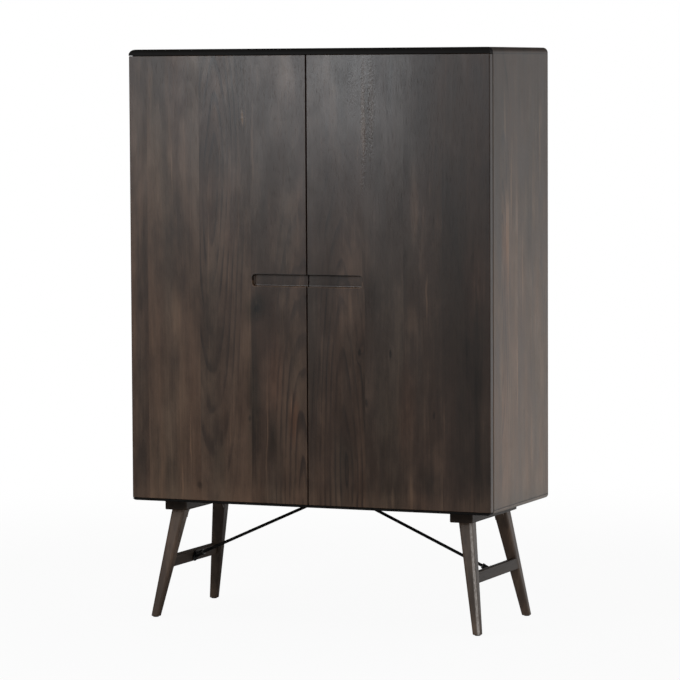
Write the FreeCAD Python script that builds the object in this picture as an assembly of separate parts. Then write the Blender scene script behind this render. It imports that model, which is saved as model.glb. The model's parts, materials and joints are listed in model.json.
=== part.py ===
"""Bar cabinet on a splayed-leg stand, with a fold-out shelf inside its left door.

Millimetres, +Z up, +Y to the back. The origin is on the floor under the middle of
the box: x is 0 on the seam between the doors, y is 0 at mid depth, z is 0 at the floor.
"""
import FreeCAD, Part
import math
import os
from FreeCAD import Vector

# ---- overall box -----------------------------------------------------------
WIDTH = 1000.0            # over the side panels
DEPTH = 430.0             # front of the doors to the back of the carcass
HEIGHT = 1485.0           # floor to the top of the box
BASE_HEIGHT = 310.0       # floor to the underside of the box
EDGE_R = 14.0             # round-over along the upper side edges of the box
LOWER_EDGE_R = 10.0       # round-over along the lower side edges of the box
NOSE_R = 13.0             # round-over along the front edge over the doors
BACK_ARRIS = 2.0          # softening of the box's back edges

# ---- boards of the box -----------------------------------------------------
SIDE_T = 22.0
TOP_T = 16.0
BOTTOM_T = 22.0
SHELF_T = 22.0
PARTITION_T = 20.0
BACK_T = 8.0
BACK_INSET = 2.0          # back panel behind the carcass's back edges
REBATE = 10.0             # depth of the rebate that the back panel sits in
DADO = 6.0                # depth of the housings that hold shelf and rails
FIT = 0.3                 # loose fit of a board in its rebate
LIP_T = 6.0               # lath under the doors
LIP_NOSE_R = 4.0          # lower front edge of that lath
SIDE_FRONT_R = 3.0        # front edges of the side panels, behind the doors
LINE_WIDTH = 1.4          # scribed lines along a side face
LINE_DEPTH = 0.8
LINE_OVER_BOTTOM = 11.5   # lower scribed line over the underside of the box
LOWER_SPACE = 318.0       # clear height under the fixed counter shelf
SERVING_SPACE = 456.0     # clear height between the counter and the loose upper shelf
SHELF_SETBACK = 6.0       # upper shelf's front edge behind the carcass front
PARTITION_SETBACK = 18.0
SHELF_ARRIS = 1.5
OVERCUT = 10.0            # how far a cutting form runs past the face that it cuts
OVERLAP = 1.0             # how far two forms that are fused run into each other

# ---- doors -----------------------------------------------------------------
DOOR_T = 20.0
DOOR_GAP = 3.0            # between a door's back and the carcass
SEAM = 3.4                # between the two doors
DOOR_PLAY = 1.0           # gap over and under a door
DOOR_EDGE_R = 2.5         # front edge on the hinge side
SEAM_ARRIS = 1.0          # front edge at the seam
DOOR_ARRIS = 1.5          # upper and lower front edges of a door
DOOR_BACK_ARRIS = 3.0     # back edge on the hinge side, which turns past the carcass
SLOT_LENGTH = 153.0       # finger slot, from the seam outwards
SLOT_HEIGHT = 31.0
SLOT_DEPTH = 12.5
SLOT_R = 9.0              # outer corners of the finger slot
SLOT_FLOOR_R = 3.0

# ---- door pivots -----------------------------------------------------------
PIVOT_IN = 8.0            # pivot axis from the side face of the box
PIVOT_BEHIND = 13.0       # pivot axis behind the door's front face
PIVOT_PIN_R = 3.0
PIVOT_PIN_DEPTH = 12.0    # pin's reach into the door
PIVOT_BUSH_R = 5.0
PIVOT_PLATE_T = 2.5
PIVOT_PLATE_REACH = 42.0  # plate's foot along and across the board
PIVOT_PLATE_R = 3.0       # corners of the plate
PIVOT_ARM_WIDTH = 12.0
PIVOT_FOOT_IN = 2.0       # plate's foot from the side panel
PIVOT_SCREW_FROM_EDGE = 11.0
PIN_PLAY = 0.05           # radial play of a pin in its bush or knuckle
PIN_END_GAP = 1.0         # between a pin's end and the bush's floor
BUSH_FLOOR = 1.0
RUNNING = 0.3             # clearance between parts that pass each other

# ---- fold-out shelf and its bracket, on the left door ----------------------
LEAF_WIDTH = 370.0
LEAF_DEPTH = 245.0
LEAF_T = 18.0
LEAF_SIDE_CLEAR = 26.0    # leaf's edge from the side panel
LEAF_ARRIS = 3.0
LEAF_AXIS_OVER_COUNTER = 174.0
STOW_GAP = 2.5            # stowed leaf or bracket from the door's inner face
BRACKET_REACH = 200.0
BRACKET_HEIGHT = 112.0
BRACKET_T = 18.0
BRACKET_TIP = 24.0        # height of the bracket at its free end
BRACKET_FOOT = 46.0       # width of the bracket at its lower end
BRACKET_BOW = 31.0        # depth of the curve cut from its underside
BRACKET_AXIS_FROM_LEAF = 187.0   # bracket's axis from the leaf's hinge-side edge
BRACKET_UNDER_LEAF = 0.4  # clearance under the leaf in use
HINGE_R = 3.5             # barrel radius of the small butt hinges
HINGE_PIN_R = 1.6
HINGE_PLATE_T = 2.0
HINGE_PLATE_W = 13.0
HINGE_SCREW_FROM_EDGE = 6.0
HINGE_SCREW_FROM_END = 13.0
KNUCKLE_CLEAR = 0.5       # between a plate's free part and the other plate's knuckles
LEAF_HINGE_LENGTH = 64.0
LEAF_HINGE_INSET = 34.0   # hinge's end from the leaf's edge
BRACKET_HINGE_LENGTH = 72.0
MAGNET_R = 6.0
MAGNET_T = 4.0
MAGNET_PROUD = 1.0
STRIKE_T = 2.0
STRIKE_PROUD = 1.0
MAGNET_FROM_EDGE = 16.0   # magnet's centre from the leaf's free edge

# ---- catches and bumpers ---------------------------------------------------
CATCH_WIDTH = 40.0
CATCH_DEPTH = 15.0
CATCH_HEIGHT = 13.0
CATCH_FROM_SEAM = 8.0
CATCH_R = 1.5             # upright corners of a catch
CATCH_SCREW_IN = 7.0      # its screws from its ends
CATCH_SCREW_GRIP = 9.0    # their reach into the top panel
CATCH_PLATE_T = 1.2
CATCH_PLATE_HEIGHT = 15.0
CATCH_PLATE_R = 3.0
CATCH_PLATE_DROP = 1.0    # plate's upper edge below the ceiling
CATCH_PLATE_SCREW = 11.0
BUMPER_R = 3.5
BUMPER_FROM_SEAM = 40.0
BUMPER_FROM_EDGE = 1.0    # lower bumper's edge below the floor board's face

# ---- bottle rack and stemware rails ---------------------------------------
BOTTLE_LANES = 4
BOTTLE_RAIL_T = 18.0
BOTTLE_RAIL_H = 50.0
BOTTLE_SCOOP_R = 42.0
BOTTLE_SCOOP_DROP = 30.0
BOTTLE_SETBACK = 52.0     # front rails behind the carcass front
BOTTLE_SPAN = 210.0       # front rails to rear rails
BOTTLE_TIER = 154.0       # lower pair of rails to upper pair
STEM_RAILS = 4
STEM_FROM_MIDDLE = 66.0   # first rail's middle from the middle of the box
STEM_FROM_SIDE = 64.0     # last rail's middle from the side panel
STEM_LENGTH = 300.0
STEM_WEB_W = 12.0
STEM_WEB_H = 16.0
STEM_FLANGE_W = 56.0
STEM_FLANGE_T = 10.0
STEM_SCREW_FROM_END = 40.0

# ---- stand -----------------------------------------------------------------
RAIL_X = 400.0            # middle of a base rail from the middle of the box
RAIL_WIDTH = 62.0
RAIL_T = 28.0
RAIL_LENGTH = 327.0
RAIL_ARRIS = 3.0
LEG_TOP_X = 403.0
LEG_TOP_Y = 126.0
FOOT_X = 451.5
FOOT_Y = 182.0
LEG_TOP_W = 37.0
FOOT_W = 22.0
LEG_CORNER_R = 7.0        # long corners of a leg
FOOT_ARRIS = 2.5          # edge round a leg's lower end
LEG_TENON_W = 20.0
LEG_TENON_H = 18.0
KNEE_R = 24.0             # concave curve between leg and rail
KNEE_WIDTH = 26.0
KNEE_INTO_LEG = 5.0
GLIDE_T = 2.0
GLIDE_R = 7.5
GLIDE_ARRIS = 0.8
GLIDE_STEM_R = 2.5
GLIDE_STEM_H = 12.0
STRETCHER_Z = 143.0
STRETCHER_H = 29.0
STRETCHER_T = 18.0
STRETCHER_TENON_T = 8.0
STRETCHER_TENON_H = 18.0
STRETCHER_ARRIS = 2.5
STRETCHER_INSET = 1.0     # its outer face behind the legs' outer faces

# ---- iron braces -----------------------------------------------------------
ROD_R = 4.0
ROD_TOP_X = 53.0          # where a rod's axis meets the underside of the box
ROD_IN_SOCKET = 14.0
SOCKET_R = 6.5
SOCKET_LENGTH = 24.0
FLANGE_R = 14.0
FLANGE_T = 3.0
FLANGE_SCREW_MARGIN = 0.8 # between a screw's head and the flange's rim
PLATE_LENGTH = 170.0
PLATE_WIDTH = 40.0
PLATE_T = 4.0
PLATE_CORNER_R = 6.0
PLATE_SCREW_IN = 10.0     # plate's screws from its ends

# ---- fasteners -------------------------------------------------------------
WOOD_SCREW_R = 2.0
WOOD_SCREW_HEAD_R = 4.0
WOOD_SCREW_HEAD_H = 2.2
SMALL_SCREW_R = 1.2
SMALL_SCREW_HEAD_R = 2.4
SMALL_SCREW_HEAD_H = 1.4
DRIVE_WIDTH = 0.8         # slot in a screw's head
DRIVE_DEPTH = 0.6
BACK_SCREW_LENGTH = 18.0
BACK_SCREWS_PER_SIDE = 5
BACK_SCREWS_PER_ROW = 3
BACK_SCREW_FROM_CORNER = 60.0
BACK_SCREW_REACH = 358.0  # outermost screw in a level row, from the middle
RAIL_SCREW_LENGTH = 44.0
RAIL_SCREW_IN = 12.0      # a base rail's outer screws from its ends
PLATE_SCREW_LENGTH = 16.0
SMALL_SCREW_LENGTH = 12.0
STEM_SCREW_LENGTH = 34.0
DOWEL_R = 4.0
DOWEL_IN_SIDE = 12.0
DOWEL_IN_BOARD = 26.0
DOWELS_PER_END = 4
DOWEL_FROM_FRONT = 45.0
DOWEL_FROM_BACK = 35.0
SHELF_PIN_R = 2.5
SHELF_PIN_IN = 9.0
SHELF_PIN_OUT = 10.0
SHELF_PIN_FROM_EDGE = 60.0

# ---- planes and lines worked out from the sizes above ----------------------
HALF_W = WIDTH / 2
INNER_X = HALF_W - SIDE_T
DOOR_FRONT = -DEPTH / 2
DOOR_BACK = DOOR_FRONT + DOOR_T
CARCASS_FRONT = DOOR_BACK + DOOR_GAP
CARCASS_BACK = DEPTH / 2
BACK_FACE = CARCASS_BACK - BACK_INSET
INNER_BACK = BACK_FACE - BACK_T
FLOOR_Z = BASE_HEIGHT + BOTTOM_T
CEILING_Z = HEIGHT - TOP_T
LIP_TOP = BASE_HEIGHT + LIP_T
DOOR_Z0 = LIP_TOP + DOOR_PLAY
DOOR_Z1 = CEILING_Z - DOOR_PLAY
SLOT_Z = (DOOR_Z0 + DOOR_Z1) / 2
PIVOT_X = HALF_W - PIVOT_IN
PIVOT_Y = DOOR_FRONT + PIVOT_BEHIND
BUSH_LENGTH = PIVOT_PIN_DEPTH + PIN_END_GAP + BUSH_FLOOR
CATCH_FRONT = DOOR_BACK + CATCH_PLATE_T + RUNNING
CATCH_PLATE_TOP = CEILING_Z - CATCH_PLATE_DROP
COUNTER_Z = FLOOR_Z + LOWER_SPACE
COUNTER_TOP = COUNTER_Z + SHELF_T
UPPER_SHELF_Z = COUNTER_TOP + SERVING_SPACE
BOTTLE_FRONT_Y = CARCASS_FRONT + BOTTLE_SETBACK
BOTTLE_REAR_Y = BOTTLE_FRONT_Y + BOTTLE_SPAN
BOTTLE_UPPER_Z = FLOOR_Z + BOTTLE_TIER
RAIL_UNDER = BASE_HEIGHT - RAIL_T
LEAF_X0 = -INNER_X + LEAF_SIDE_CLEAR
LEAF_X1 = LEAF_X0 + LEAF_WIDTH
LEAF_AXIS_Z = COUNTER_TOP + LEAF_AXIS_OVER_COUNTER
FOLD_Y = DOOR_BACK + HINGE_R
LEAF_FACE = DOOR_BACK + STOW_GAP
LEAF_UNDER_IN_USE = LEAF_AXIS_Z + FOLD_Y - LEAF_FACE - LEAF_T
BRACKET_X = LEAF_X0 + BRACKET_AXIS_FROM_LEAF
BRACKET_TOP = LEAF_UNDER_IN_USE - BRACKET_UNDER_LEAF
BRACKET_BOTTOM = BRACKET_TOP - BRACKET_HEIGHT

X = Vector(1, 0, 0)
Y = Vector(0, 1, 0)
Z = Vector(0, 0, 1)
ORIGIN = Vector(0, 0, 0)
SIDES = (("left", -1), ("right", 1))

nodes = {}


# ---- helpers ---------------------------------------------------------------
def block(x0, x1, y0, y1, z0, z1):
    """A box between two corners, given in any order."""
    low = Vector(min(x0, x1), min(y0, y1), min(z0, z1))
    return Part.makeBox(abs(x1 - x0), abs(y1 - y0), abs(z1 - z0), low)


def rod(start, direction, radius, length):
    """A round bar from a point along a direction."""
    return Part.makeCylinder(radius, length, start, direction)


def edges_where(shape, test):
    """Edges whose middle point passes a test."""
    found = []
    for edge in shape.Edges:
        middle = edge.valueAt((edge.FirstParameter + edge.LastParameter) / 2)
        if test(middle, edge):
            found.append(edge)
    return found


def close(a, b):
    return abs(a - b) < 1e-4


def soften(shape, radius, test):
    """Round the edges that pass a test."""
    return shape.makeFillet(radius, edges_where(shape, test))


def along(edge, axis):
    """True for a straight edge that runs along an axis."""
    if not isinstance(edge.Curve, Part.Line):
        return False
    return abs(abs(edge.Curve.Direction.dot(axis)) - 1) < 1e-6


def joined(shapes):
    """Several solids fused to one clean solid."""
    return shapes[0].fuse(shapes[1:]).removeSplitter()


def minus(shape, tools):
    """A solid less a list of solids."""
    return shape.cut(tools) if tools else shape


def screw(head, direction, radius, head_r, head_h, length):
    """A countersunk screw: head is the middle of its face, direction points into the work."""
    cone = Part.makeCone(head_r, radius, head_h, head, direction)
    shank = rod(head, direction, radius, length)
    body = cone.fuse(shank).removeSplitter()
    across = X if abs(direction.dot(X)) < 0.9 else Y
    normal = direction.cross(across)
    normal.normalize()
    corner = head - across * head_r * 1.5 - normal * DRIVE_WIDTH / 2
    wire = Part.makePolygon([
        corner,
        corner + across * head_r * 3,
        corner + across * head_r * 3 + normal * DRIVE_WIDTH,
        corner + normal * DRIVE_WIDTH,
        corner,
    ])
    slot = Part.Face(wire).extrude(direction * DRIVE_DEPTH)
    return body.cut(slot)


def wood_screw(head, direction, length):
    return screw(head, direction, WOOD_SCREW_R, WOOD_SCREW_HEAD_R, WOOD_SCREW_HEAD_H, length)


def small_screw(head, direction, length=SMALL_SCREW_LENGTH):
    return screw(head, direction, SMALL_SCREW_R, SMALL_SCREW_HEAD_R, SMALL_SCREW_HEAD_H, length)


def spread(low, high, count):
    """Evenly spaced values from low to high."""
    return [low + (high - low) * i / (count - 1) for i in range(count)]


# ---- carcass ---------------------------------------------------------------
def box_envelope():
    """The outer form of the box, from the doors' faces to the back.

    The rounding of the side edges and that of the front edges meet in a mitre.
    """
    raw = block(-HALF_W, HALF_W, DOOR_FRONT, CARCASS_BACK, BASE_HEIGHT, HEIGHT)
    sides = soften(raw, EDGE_R, lambda p, e: along(e, Y) and close(p.z, HEIGHT))
    sides = soften(sides, LOWER_EDGE_R, lambda p, e: along(e, Y) and close(p.z, BASE_HEIGHT))
    sides = soften(sides, BACK_ARRIS, lambda p, e: close(p.y, CARCASS_BACK))
    front = soften(raw, NOSE_R, lambda p, e: close(p.y, DOOR_FRONT) and close(p.z, HEIGHT))
    front = soften(front, LIP_NOSE_R,
                   lambda p, e: close(p.y, DOOR_FRONT) and close(p.z, BASE_HEIGHT))
    return sides.common(front)


def dowel_places():
    """Axis points of the dowels, on the inner face of each side panel."""
    places = []
    for name, s in SIDES:
        for z in (BASE_HEIGHT + BOTTOM_T / 2, HEIGHT - TOP_T / 2):
            for y in spread(CARCASS_FRONT + DOWEL_FROM_FRONT, INNER_BACK - DOWEL_FROM_BACK,
                            DOWELS_PER_END):
                places.append((s, Vector(s * INNER_X, y, z)))
    return places


def dowels():
    found = []
    for s, point in dowel_places():
        start = point + X * s * DOWEL_IN_SIDE
        found.append(rod(start, X * -s, DOWEL_R, DOWEL_IN_SIDE + DOWEL_IN_BOARD))
    return found


def back_screw_points():
    """Heads of the back panel's screws, on the panel's outer face."""
    edge = INNER_X + REBATE / 2
    points = []
    for s in (-1, 1):
        for z in spread(FLOOR_Z + BACK_SCREW_FROM_CORNER, CEILING_Z - BACK_SCREW_FROM_CORNER,
                        BACK_SCREWS_PER_SIDE):
            points.append(Vector(s * edge, BACK_FACE, z))
    for z in (FLOOR_Z - REBATE / 2, COUNTER_Z + SHELF_T / 2, CEILING_Z + REBATE / 2):
        for x in spread(-BACK_SCREW_REACH, BACK_SCREW_REACH, BACK_SCREWS_PER_ROW):
            points.append(Vector(x, BACK_FACE, z))
    return points


def back_screws():
    return [wood_screw(p, -Y, BACK_SCREW_LENGTH) for p in back_screw_points()]


def shelf_pins():
    pins = []
    for s in (-1, 1):
        for y in (CARCASS_FRONT + SHELF_PIN_FROM_EDGE, INNER_BACK - SHELF_PIN_FROM_EDGE):
            start = Vector(s * (INNER_X + SHELF_PIN_IN), y, UPPER_SHELF_Z - SHELF_PIN_R)
            pins.append(rod(start, X * -s, SHELF_PIN_R, SHELF_PIN_IN + SHELF_PIN_OUT))
    return pins


def scribed_lines(s):
    """The shallow grooves along a side face, near its upper and lower edges."""
    lines = []
    for z in (CEILING_Z, BASE_HEIGHT + LINE_OVER_BOTTOM):
        lines.append(block(s * (HALF_W + OVERCUT), s * (HALF_W - LINE_DEPTH),
                           CARCASS_FRONT - OVERCUT, CARCASS_BACK + OVERCUT,
                           z - LINE_WIDTH / 2, z + LINE_WIDTH / 2))
    return lines


def stopped_round(s):
    """What is taken off a side panel's front edge, to let the door turn past it."""
    middle_x = s * (HALF_W - SIDE_FRONT_R)
    middle_y = CARCASS_FRONT + SIDE_FRONT_R
    corner = block(middle_x, s * (HALF_W + OVERCUT), CARCASS_FRONT - OVERCUT, middle_y,
                   LIP_TOP, CEILING_Z)
    post = rod(Vector(middle_x, middle_y, BASE_HEIGHT), Z, SIDE_FRONT_R, HEIGHT - BASE_HEIGHT)
    return corner.cut(post)


def counter_shelf_raw():
    reach = INNER_X + DADO
    return block(-reach, reach, CARCASS_FRONT, INNER_BACK, COUNTER_Z, COUNTER_TOP)


def bottle_rail_raw(y, z):
    """One rail, with its ends in the housings and a scoop for each bottle."""
    x0 = PARTITION_T / 2
    x1 = INNER_X
    rail = block(x0 - DADO, x1 + DADO, y, y + BOTTLE_RAIL_T, z, z + BOTTLE_RAIL_H)
    pitch = (x1 - x0) / BOTTLE_LANES
    drop = z + BOTTLE_RAIL_H - BOTTLE_SCOOP_DROP + BOTTLE_SCOOP_R
    scoops = []
    for lane in range(BOTTLE_LANES):
        centre = Vector(x0 + pitch * (lane + 0.5), y - OVERCUT, drop)
        scoops.append(rod(centre, Y, BOTTLE_SCOOP_R, BOTTLE_RAIL_T + 2 * OVERCUT))
    return rail.cut(scoops)


BOTTLE_RAILS = (
    ("front_lower", BOTTLE_FRONT_Y, FLOOR_Z),
    ("rear_lower", BOTTLE_REAR_Y, FLOOR_Z),
    ("front_upper", BOTTLE_FRONT_Y, BOTTLE_UPPER_Z),
    ("rear_upper", BOTTLE_REAR_Y, BOTTLE_UPPER_Z),
)


def make_carcass(envelope, cutters):
    """Side panels, top, bottom, front laths, back, shelves and partition."""
    rails = [bottle_rail_raw(y, z) for name, y, z in BOTTLE_RAILS]
    shelf = counter_shelf_raw()
    front = CARCASS_FRONT
    rear = CARCASS_BACK + OVERCUT
    below = BASE_HEIGHT - OVERCUT
    above = HEIGHT + OVERCUT
    rebate = block(-INNER_X - REBATE, INNER_X + REBATE, INNER_BACK, rear,
                   FLOOR_Z - REBATE, CEILING_Z + REBATE)
    for name, s in SIDES:
        raw = block(s * INNER_X, s * (HALF_W + OVERCUT), front, rear, below, above)
        panel = raw.common(envelope)
        ends = rails if s > 0 else []
        tools = [rebate, shelf, stopped_round(s)] + scribed_lines(s) + ends + cutters
        nodes["side_panel_" + name] = minus(panel, tools)
    top = block(-INNER_X, INNER_X, front, rear, CEILING_Z, above)
    nodes["top_panel"] = minus(top.common(envelope), [rebate] + cutters)
    bottom = block(-INNER_X, INNER_X, front, rear, below, FLOOR_Z)
    nodes["bottom_panel"] = minus(bottom.common(envelope), [rebate] + cutters)
    for name, z0, z1 in (("top", CEILING_Z, above), ("bottom", below, LIP_TOP)):
        lath = block(-HALF_W, HALF_W, DOOR_FRONT, CARCASS_FRONT, z0, z1)
        nodes[name + "_front_lath"] = minus(lath.common(envelope), cutters)
    reach = INNER_X + REBATE - FIT
    back = block(-reach, reach, INNER_BACK, BACK_FACE,
                 FLOOR_Z - REBATE + FIT, CEILING_Z + REBATE - FIT)
    nodes["back_panel"] = minus(back, cutters)
    nodes["counter_shelf"] = minus(shelf, cutters)
    loose = INNER_X - FIT
    lip = CARCASS_FRONT + SHELF_SETBACK
    upper = block(-loose, loose, lip, INNER_BACK - FIT, UPPER_SHELF_Z, UPPER_SHELF_Z + SHELF_T)
    nodes["upper_shelf"] = soften(upper, SHELF_ARRIS, lambda p, e: close(p.y, lip) and along(e, X))
    half = PARTITION_T / 2
    partition = block(-half, half, CARCASS_FRONT + PARTITION_SETBACK, INNER_BACK, FLOOR_Z, COUNTER_Z)
    nodes["lower_partition"] = minus(partition, rails)
    for (name, y, z), rail in zip(BOTTLE_RAILS, rails):
        nodes["bottle_rail_" + name] = rail


def stem_rail_places():
    """Middle lines of the stemware rails, over the right half of the box."""
    return spread(STEM_FROM_MIDDLE, INNER_X - STEM_FROM_SIDE, STEM_RAILS)


def stem_screws():
    head_z = CEILING_Z - STEM_WEB_H - STEM_FLANGE_T
    reach = STEM_LENGTH / 2 - STEM_SCREW_FROM_END
    found = []
    for x in stem_rail_places():
        for y in (-reach, reach):
            found.append(wood_screw(Vector(x, y, head_z), Z, STEM_SCREW_LENGTH))
    return found


def make_stem_rails(screws):
    """T-shaped rails under the top, for the feet of upturned glasses."""
    web_z = CEILING_Z - STEM_WEB_H
    flange_z = web_z - STEM_FLANGE_T
    half = STEM_LENGTH / 2
    for i, x in enumerate(stem_rail_places()):
        web = block(x - STEM_WEB_W / 2, x + STEM_WEB_W / 2, -half, half, web_z, CEILING_Z)
        flange = block(x - STEM_FLANGE_W / 2, x + STEM_FLANGE_W / 2, -half, half, flange_z, web_z)
        flange = soften(flange, SHELF_ARRIS, lambda p, e: along(e, Y) or along(e, Z))
        nodes["stemware_rail_%d" % (i + 1)] = minus(joined([web, flange]), screws)


# ---- doors and pivots ------------------------------------------------------
def pivot_point(s, z):
    return Vector(s * PIVOT_X, PIVOT_Y, z)


def pivot_plate(s, z, pin_direction, edge_z):
    """A flat cranked plate with a pin that reaches into the door's edge at edge_z.

    z is the plate's face on the pin's side.
    """
    back_z = z - pin_direction * PIVOT_PLATE_T
    outer = s * (PIVOT_X + PIVOT_ARM_WIDTH / 2)
    inner = s * (INNER_X - PIVOT_PLATE_REACH)
    arm = block(outer, inner, PIVOT_Y - PIVOT_ARM_WIDTH / 2, CARCASS_FRONT - RUNNING, z, back_z)
    foot = block(s * (INNER_X - PIVOT_FOOT_IN), inner,
                 PIVOT_Y, CARCASS_FRONT + PIVOT_PLATE_REACH, z, back_z)
    plate = joined([arm, foot])
    plate = soften(plate, PIVOT_PLATE_R, lambda p, e: along(e, Z) and (
        close(p.x, inner) or (close(p.x, outer) and p.y < PIVOT_Y)))
    gap = abs(edge_z - z)
    root = PIVOT_PLATE_T / 2
    start = pivot_point(s, z - pin_direction * root)
    pin = rod(start, Z * pin_direction, PIVOT_PIN_R, root + gap + PIVOT_PIN_DEPTH)
    return joined([plate, pin])


def pivot_plates(s, envelope):
    """The plate let into the top's underside and the one let into the box's underside."""
    upper = pivot_plate(s, CEILING_Z, -1, DOOR_Z1)
    lower = pivot_plate(s, BASE_HEIGHT + PIVOT_PLATE_T, 1, DOOR_Z0)
    return [upper, lower.common(envelope)]


def pivot_screws(s, z, into):
    """Two screws through the foot of a pivot plate."""
    x = s * (INNER_X - PIVOT_PLATE_REACH / 2)
    ys = (CARCASS_FRONT + PIVOT_SCREW_FROM_EDGE,
          CARCASS_FRONT + PIVOT_PLATE_REACH - PIVOT_SCREW_FROM_EDGE)
    return [small_screw(Vector(x, y, z), Z * into) for y in ys]


def pivot_bush(s, edge_z, into):
    """A bush let into the door's top or bottom edge."""
    outer = rod(pivot_point(s, edge_z), Z * into, PIVOT_BUSH_R, BUSH_LENGTH)
    bore = rod(pivot_point(s, edge_z), Z * into, PIVOT_PIN_R + PIN_PLAY, BUSH_LENGTH - BUSH_FLOOR)
    return outer.cut(bore)


def finger_slot(s):
    """The routed recess that runs out to the seam."""
    far = s * SLOT_LENGTH
    near = -s * OVERCUT
    floor_y = DOOR_FRONT + SLOT_DEPTH
    tool = block(near, far, DOOR_FRONT - OVERCUT, floor_y,
                 SLOT_Z - SLOT_HEIGHT / 2, SLOT_Z + SLOT_HEIGHT / 2)
    tool = soften(tool, SLOT_R, lambda p, e: along(e, Y) and close(p.x, far))
    return soften(tool, SLOT_FLOOR_R, lambda p, e: close(p.y, floor_y) and not close(p.x, near))


def make_door(s):
    """One full-height door leaf with its rounded edges and finger slot."""
    seam_x = s * SEAM / 2
    outer_x = s * HALF_W
    door = block(seam_x, outer_x, DOOR_FRONT, DOOR_BACK, DOOR_Z0, DOOR_Z1)
    door = soften(door, DOOR_EDGE_R, lambda p, e: along(e, Z) and close(p.x, outer_x)
                  and close(p.y, DOOR_FRONT))
    door = soften(door, SEAM_ARRIS, lambda p, e: along(e, Z) and close(p.x, seam_x)
                  and close(p.y, DOOR_FRONT))
    door = soften(door, DOOR_BACK_ARRIS, lambda p, e: along(e, Z) and close(p.x, outer_x)
                  and close(p.y, DOOR_BACK))
    door = soften(door, DOOR_ARRIS, lambda p, e: along(e, X) and close(p.y, DOOR_FRONT))
    return door.cut(finger_slot(s))


def catch_x(s):
    return s * CATCH_FROM_SEAM, s * (CATCH_FROM_SEAM + CATCH_WIDTH)


def door_catch(s):
    """A magnetic catch under the top panel."""
    x0, x1 = catch_x(s)
    body = block(x0, x1, CATCH_FRONT, CATCH_FRONT + CATCH_DEPTH, CEILING_Z - CATCH_HEIGHT, CEILING_Z)
    return soften(body, CATCH_R, lambda p, e: along(e, Z))


def catch_screws():
    found = []
    for s in (-1, 1):
        x0, x1 = catch_x(s)
        y = CATCH_FRONT + CATCH_DEPTH / 2
        for x in (x0 + s * CATCH_SCREW_IN, x1 - s * CATCH_SCREW_IN):
            head = Vector(x, y, CEILING_Z - CATCH_HEIGHT)
            found.append(small_screw(head, Z, CATCH_HEIGHT + CATCH_SCREW_GRIP))
    return found


def catch_plate(s):
    """The steel plate on the door that the magnet holds."""
    x0, x1 = catch_x(s)
    plate = block(x0, x1, DOOR_BACK, DOOR_BACK + CATCH_PLATE_T,
                  CATCH_PLATE_TOP - CATCH_PLATE_HEIGHT, CATCH_PLATE_TOP)
    return soften(plate, CATCH_PLATE_R, lambda p, e: along(e, Y))


def catch_plate_screw(s):
    x0, x1 = catch_x(s)
    z = CATCH_PLATE_TOP - CATCH_PLATE_HEIGHT / 2
    head = Vector((x0 + x1) / 2, DOOR_BACK + CATCH_PLATE_T, z)
    return small_screw(head, -Y, CATCH_PLATE_SCREW)


def bumpers(s):
    """Felt dots on the door, one against the bottom board and one against the counter."""
    found = []
    for z in (FLOOR_Z - BUMPER_R - BUMPER_FROM_EDGE, COUNTER_Z + SHELF_T / 2):
        start = Vector(s * BUMPER_FROM_SEAM, DOOR_BACK, z)
        found.append(rod(start, Y, BUMPER_R, DOOR_GAP - RUNNING))
    return found


# ---- small butt hinges -----------------------------------------------------
def hinge_parts(length):
    """A butt hinge about local Z, from 0 to length.

    The fixed plate lies on the plane y = -HINGE_R and runs towards -X. The moving
    plate lies on the plane x = HINGE_R and runs towards +Y. Returns both plates with
    their knuckles, the pin, and the screw places of both as (point, direction).
    """
    third = length / 3
    bore = rod(Vector(0, 0, -OVERCUT), Z, HINGE_PIN_R + PIN_PLAY, length + 2 * OVERCUT)
    clear = HINGE_R + KNUCKLE_CLEAR
    spans_fixed = ((0, third), (2 * third, length))
    spans_moving = ((third + RUNNING / 2, 2 * third - RUNNING / 2),)

    def knuckles(spans):
        return [rod(Vector(0, 0, a), Z, HINGE_R, b - a) for a, b in spans]

    fixed = [block(-HINGE_R - HINGE_PLATE_W, -clear, -HINGE_R, -HINGE_R + HINGE_PLATE_T, 0, length)]
    for a, b in spans_fixed:
        top = b - RUNNING / 2 if b < length else b
        low = a + RUNNING / 2 if a > 0 else a
        fixed.append(block(-clear - OVERLAP, 0, -HINGE_R, -HINGE_R + HINGE_PLATE_T, low, top))
        fixed += knuckles(((low, top),))
    moving = [block(HINGE_R - HINGE_PLATE_T, HINGE_R, clear, HINGE_R + HINGE_PLATE_W, 0, length)]
    for a, b in spans_moving:
        moving.append(block(HINGE_R - HINGE_PLATE_T, HINGE_R, 0, clear + OVERLAP, a, b))
        moving += knuckles(((a, b),))
    pin = rod(ORIGIN, Z, HINGE_PIN_R, length)
    middle = HINGE_R + HINGE_PLATE_W - HINGE_SCREW_FROM_EDGE
    places = (HINGE_SCREW_FROM_END, length - HINGE_SCREW_FROM_END)
    fixed_screws = [(Vector(-middle, -HINGE_R + HINGE_PLATE_T, z), -Y) for z in places]
    moving_screws = [(Vector(HINGE_R - HINGE_PLATE_T, middle, z), X) for z in places]
    return {
        "fixed": joined(fixed).cut(bore),
        "moving": joined(moving).cut(bore),
        "pin": pin,
        "fixed_screws": [small_screw(p, d) for p, d in fixed_screws],
        "moving_screws": [small_screw(p, d) for p, d in moving_screws],
    }


def place(shape, turn_to_x, at):
    """Move a hinge piece: its axis along -X if asked, then to its place."""
    moved = shape.copy()
    if turn_to_x:
        moved.rotate(ORIGIN, Y, -90)
    moved.translate(at)
    return moved


def placed_hinge(length, turn_to_x, at):
    parts = hinge_parts(length)
    found = {}
    for key, value in parts.items():
        if isinstance(value, list):
            found[key] = [place(v, turn_to_x, at) for v in value]
        else:
            found[key] = place(value, turn_to_x, at)
    return found


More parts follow.
